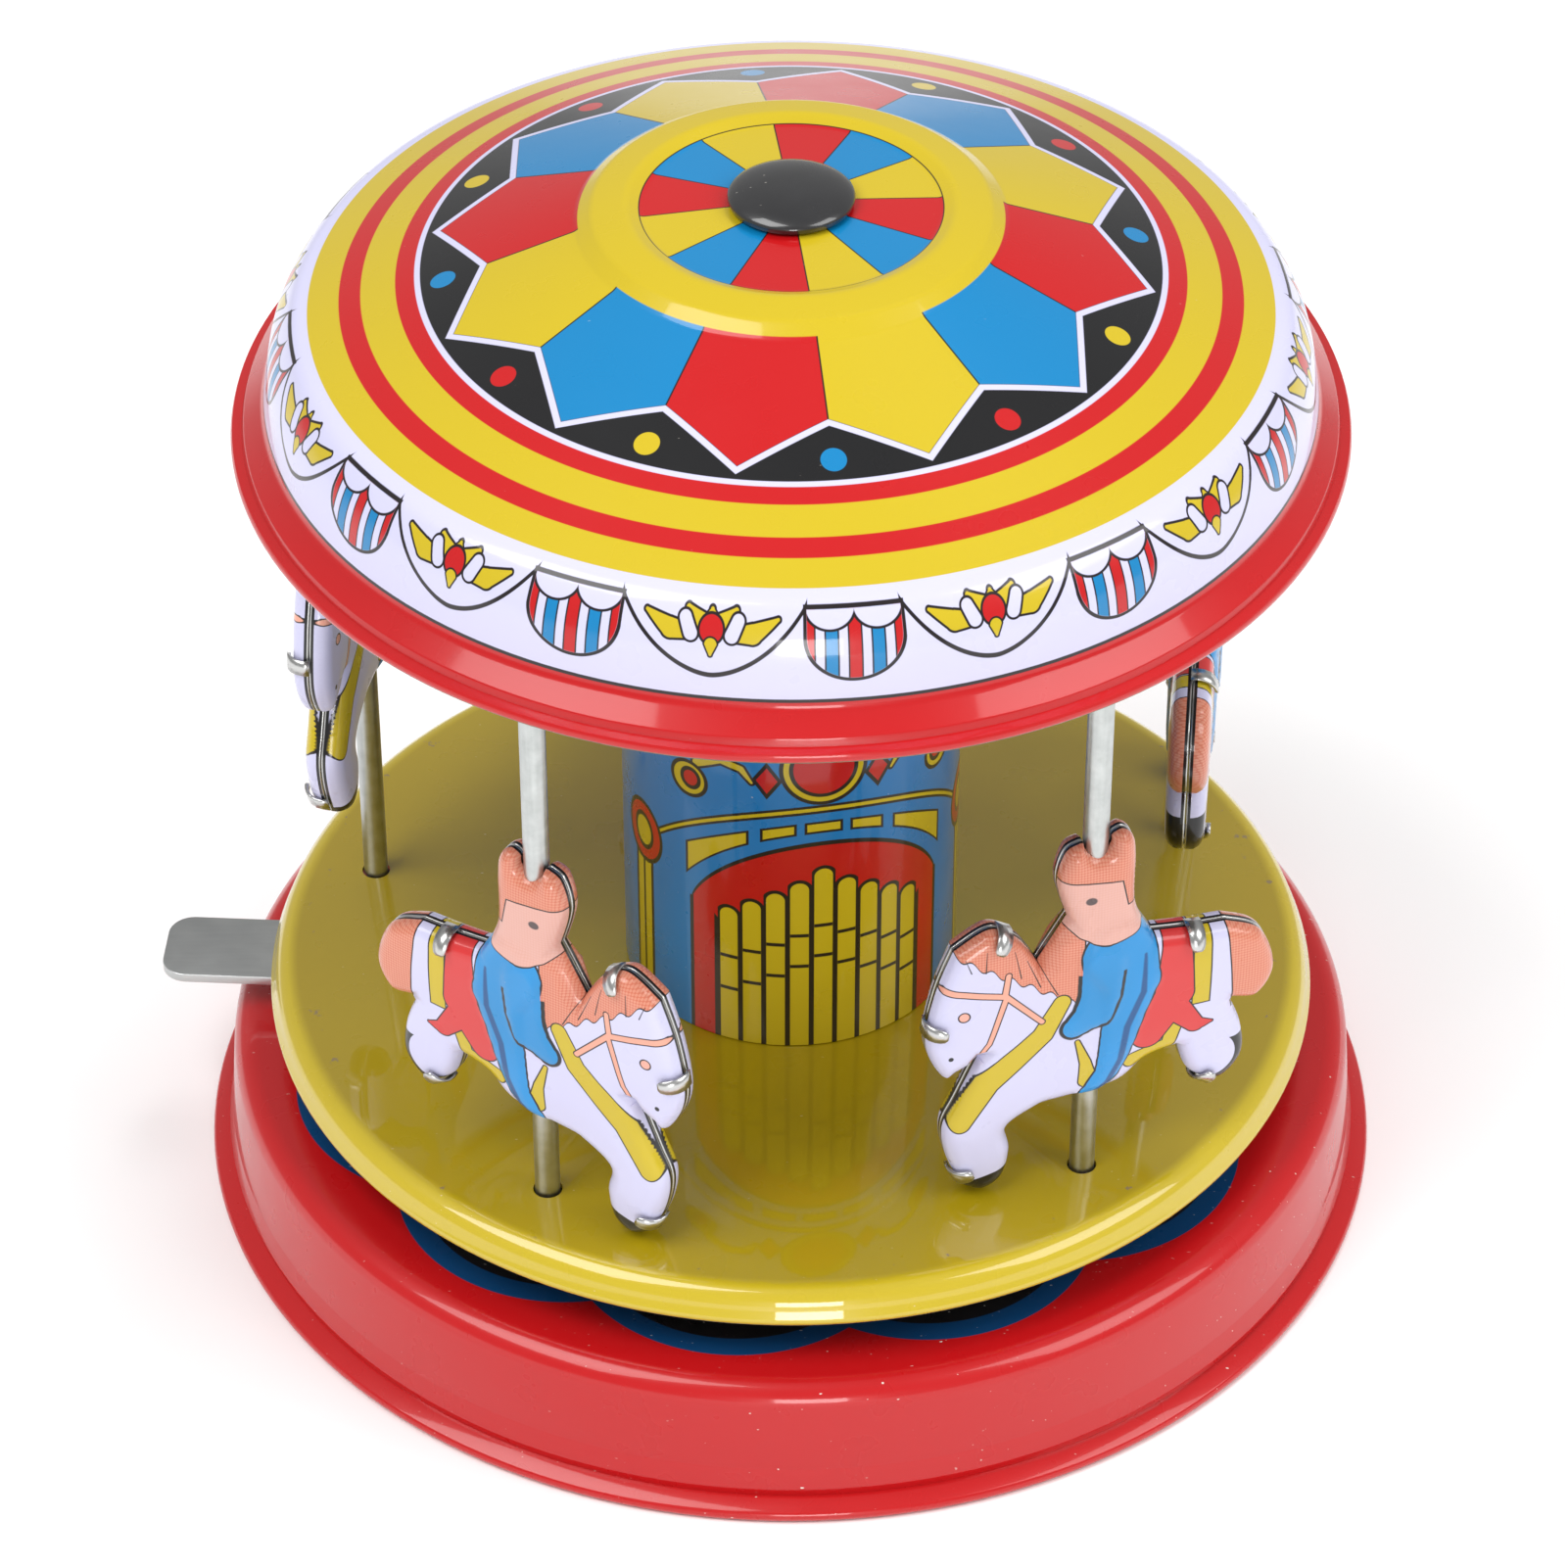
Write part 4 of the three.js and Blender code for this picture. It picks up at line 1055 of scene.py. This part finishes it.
def pressed_depth(point, distance):
    """How far the face stands from the seam: rounded at its edge, gently domed, raised at the rider."""
    near = min(distance / RIDER_ROUND, 1)
    rise = RIDER_HALF - 0.45 - RIDER_LIP
    depth = RIDER_LIP + rise * math.sqrt(1 - (1 - near) ** 2) + 0.16 * smoothstep((distance - 1) / 3)
    for shape, height, slope in RISE:
        depth += height * smoothstep(-stroke_distance(point.x, point.y, shape) / slope)
    return depth


def pressed_face():
    """Points of the face as (x, y, depth), and its triangles, with the outline's points first."""
    # The outline runs clockwise, so its inside lies to the right of each edge
    points = list(outline)
    for ring in EDGE_RINGS:
        for a, b in zip(outline, outline[1:] + outline[:1]):
            edge = (b - a).normalized()
            point = (a + b) / 2 + Vector((edge.y, -edge.x)) * ring
            distance, inside = to_outline(point)
            if inside and distance > 0.95 * ring:
                points.append(point)
    for row in range(int(39 / (FACE_STEP * 0.866)) + 1):
        for k in range(-32, 30):
            point = Vector((k * FACE_STEP + (row % 2) * FACE_STEP / 2, row * FACE_STEP * 0.866))
            distance, inside = to_outline(point)
            if inside and distance > FACE_MARGIN:
                points.append(point)
    made = delaunay_2d_cdt(points, [], [list(range(len(outline)))], 1, 1e-6)
    depths = [pressed_depth(p, to_outline(p)[0]) for p in made[0]]
    places = [(p.x, p.y, d) for p, d in zip(made[0], depths)]
    return places, made[2]


FACE_POINTS, FACE_TRIANGLES = pressed_face()
print("pressed face:", len(FACE_POINTS), "points,", len(FACE_TRIANGLES), "triangles")

# %% [markdown]
# ## The rider halves
# Two halves meet at a seam in the plane of the pole. The inner half has tongues that are bent over the
# edge of the other one to hold the pair together. Both are left open at the back, as real tin is, and
# Solidify gives the sheet its thickness.

# %% Rider halves
def half_mesh(bm, own):
    """The face and the side wall of one half, in figure coordinates, with its back left open."""
    verts = []
    for place in FACE_POINTS:
        vert = bm.verts.new((place[0], place[2], place[1]))
        vert[own] = place
        verts.append(vert)
    for triangle in FACE_TRIANGLES:
        bm.faces.new([verts[k] for k in triangle])
    rims = [e for e in bm.edges if len(e.link_faces) == 1]
    for depth in (0.44, 0.2, 0.16, RIDER_SEAM):
        grown = bmesh.ops.extrude_edge_only(bm, edges=rims)["geom"]
        rims = [g for g in grown if isinstance(g, bmesh.types.BMEdge)]
        for vert in {v for e in rims for v in e.verts}:
            vert.co.y = depth
            vert[own] = (vert.co.x, vert.co.z, depth)


def add_tab(bm, own, spot):
    """A tongue of bare tin bent from the seam over the edge of the other half."""
    spot = Vector(spot)
    nearest = min(range(len(outline)), key=lambda k: (outline[k] - spot).length)
    root = outline[nearest]
    tangent = (outline[(nearest + 2) % len(outline)] - outline[nearest - 2]).normalized()
    inward = Vector((-tangent.y, tangent.x))
    if not to_outline(root + inward * 0.3)[1]:
        inward = -inward
    rows = [(-0.1, 0.15, 0.75), (-0.2, -0.4, 0.75), (-0.12, -1.0, 0.75), (0.12, -1.5, 0.74)]
    rows += [(0.5, -1.86, 0.72), (0.9, -2.06, 0.66), (1.25, -2.16, 0.55), (1.45, -2.14, 0.35)]
    last = None
    for inset, depth, half in rows:
        now = []
        for side in (-half, 0, half):
            at = root + inward * inset + tangent * side
            vert = bm.verts.new((at.x, depth, at.y))
            vert[own] = (at.x, at.y, 0.1)
            now.append(vert)
        if last:
            bm.faces.new([last[0], last[1], now[1], now[0]])
            bm.faces.new([last[1], last[2], now[2], now[1]])
        last = now


def rider_half(name, pole, facing, turn, lift, side, node):
    """One pressed half: side is 1 for the outer half and -1 for the inner, which carries the tabs."""
    bm = bmesh.new()
    own = bm.verts.layers.float_vector.new("figure")
    half_mesh(bm, own)
    bmesh.ops.recalc_face_normals(bm, faces=bm.faces)
    if sum((f.normal.y * f.calc_area() for f in bm.faces)) < 0:
        bmesh.ops.reverse_faces(bm, faces=bm.faces)
    if side < 0:
        for spot in TABS:
            add_tab(bm, own, spot)
    outwards = Vector((pole.x, pole.y, 0)).normalized()
    outwards.rotate(Matrix.Rotation(math.radians(turn), 3, "Z"))
    forward = Vector((-outwards.y, outwards.x, 0))
    for vert in bm.verts:
        s, d, h = vert.co
        vert.co = (Vector((pole.x, pole.y, lift + h)) + forward * (s * facing) + outwards * (d * side)) * MM
    if facing * side > 0:
        bmesh.ops.reverse_faces(bm, faces=bm.faces)
    piece = finished(name, bm, RIDER_INK, "carousel", [node], 50)
    wall = piece.modifiers.new("tin", "SOLIDIFY")
    wall.thickness = RIDER_TIN * MM
    wall.offset = -1


for i, (pole, facing, turn, lift) in enumerate(zip(POLES, FACING, TURNS, LIFTS), 1):
    for word, side in (("outer", 1), ("inner", -1)):
        rider_half(f"rider_{i}_{word}_tin", pole, facing, turn, lift, side, f"rider_{i}_{word}_half")

# %% [markdown]
# ## Stage and light
# A plain pale floor under soft studio light. One large soft box hangs over the left front, where the
# varnish mirrors it as a broad pale band, another fills from the right, and the surroundings are white.
# A small one lights the figures from in front. The one behind is kept out of reflections, or the roof
# and the platform would mirror it.

# %% Stage and lights
def stage_floor():
    mesh = bpy.data.meshes.new("floor")
    bm = bmesh.new()
    bmesh.ops.create_grid(bm, x_segments=1, y_segments=1, size=3)
    bm.to_mesh(mesh)
    bm.free()
    floor = bpy.data.objects.new("floor", mesh)
    bpy.context.collection.objects.link(floor)
    ink = Ink("floor_paper", Roughness=0.8, Base_Color=(0.97, 0.97, 0.97, 1))
    mesh.materials.append(ink.material)


def soft_box(name, place, aim, size, power, colour=(1, 1, 1)):
    data = bpy.data.lights.new(name, "AREA")
    data.shape = "RECTANGLE"
    data.size, data.size_y = size
    data.energy = power
    data.color = colour
    light = bpy.data.objects.new(name, data)
    light.location = place
    light.rotation_euler = (Vector(aim) - Vector(place)).to_track_quat("-Z", "Y").to_euler()
    bpy.context.collection.objects.link(light)
    return light


stage_floor()
world = bpy.data.worlds.new("studio")
world.use_nodes = True
world.node_tree.nodes["Background"].inputs["Color"].default_value = (1, 1, 1, 1)
world.node_tree.nodes["Background"].inputs["Strength"].default_value = 0.42
bpy.context.scene.world = world
bpy.context.scene.view_settings.view_transform = "Standard"
soft_box("key", (-0.5, -0.3, 0.95), (0, 0, 0.05), (0.7, 0.7), 7.5)
soft_box("fill", (0.7, -0.3, 0.7), (0, 0, 0.05), (0.6, 0.6), 4.2)
soft_box("front", (0.06, -1.0, 0.16), (0, 0, 0.08), (0.22, 0.3), 2.2)
back = soft_box("back", (0.45, 0.5, 1.5), (0.2, 0.1, 0), (0.7, 0.5), 8)
back.visible_glossy = False
print("stage and lights ready")
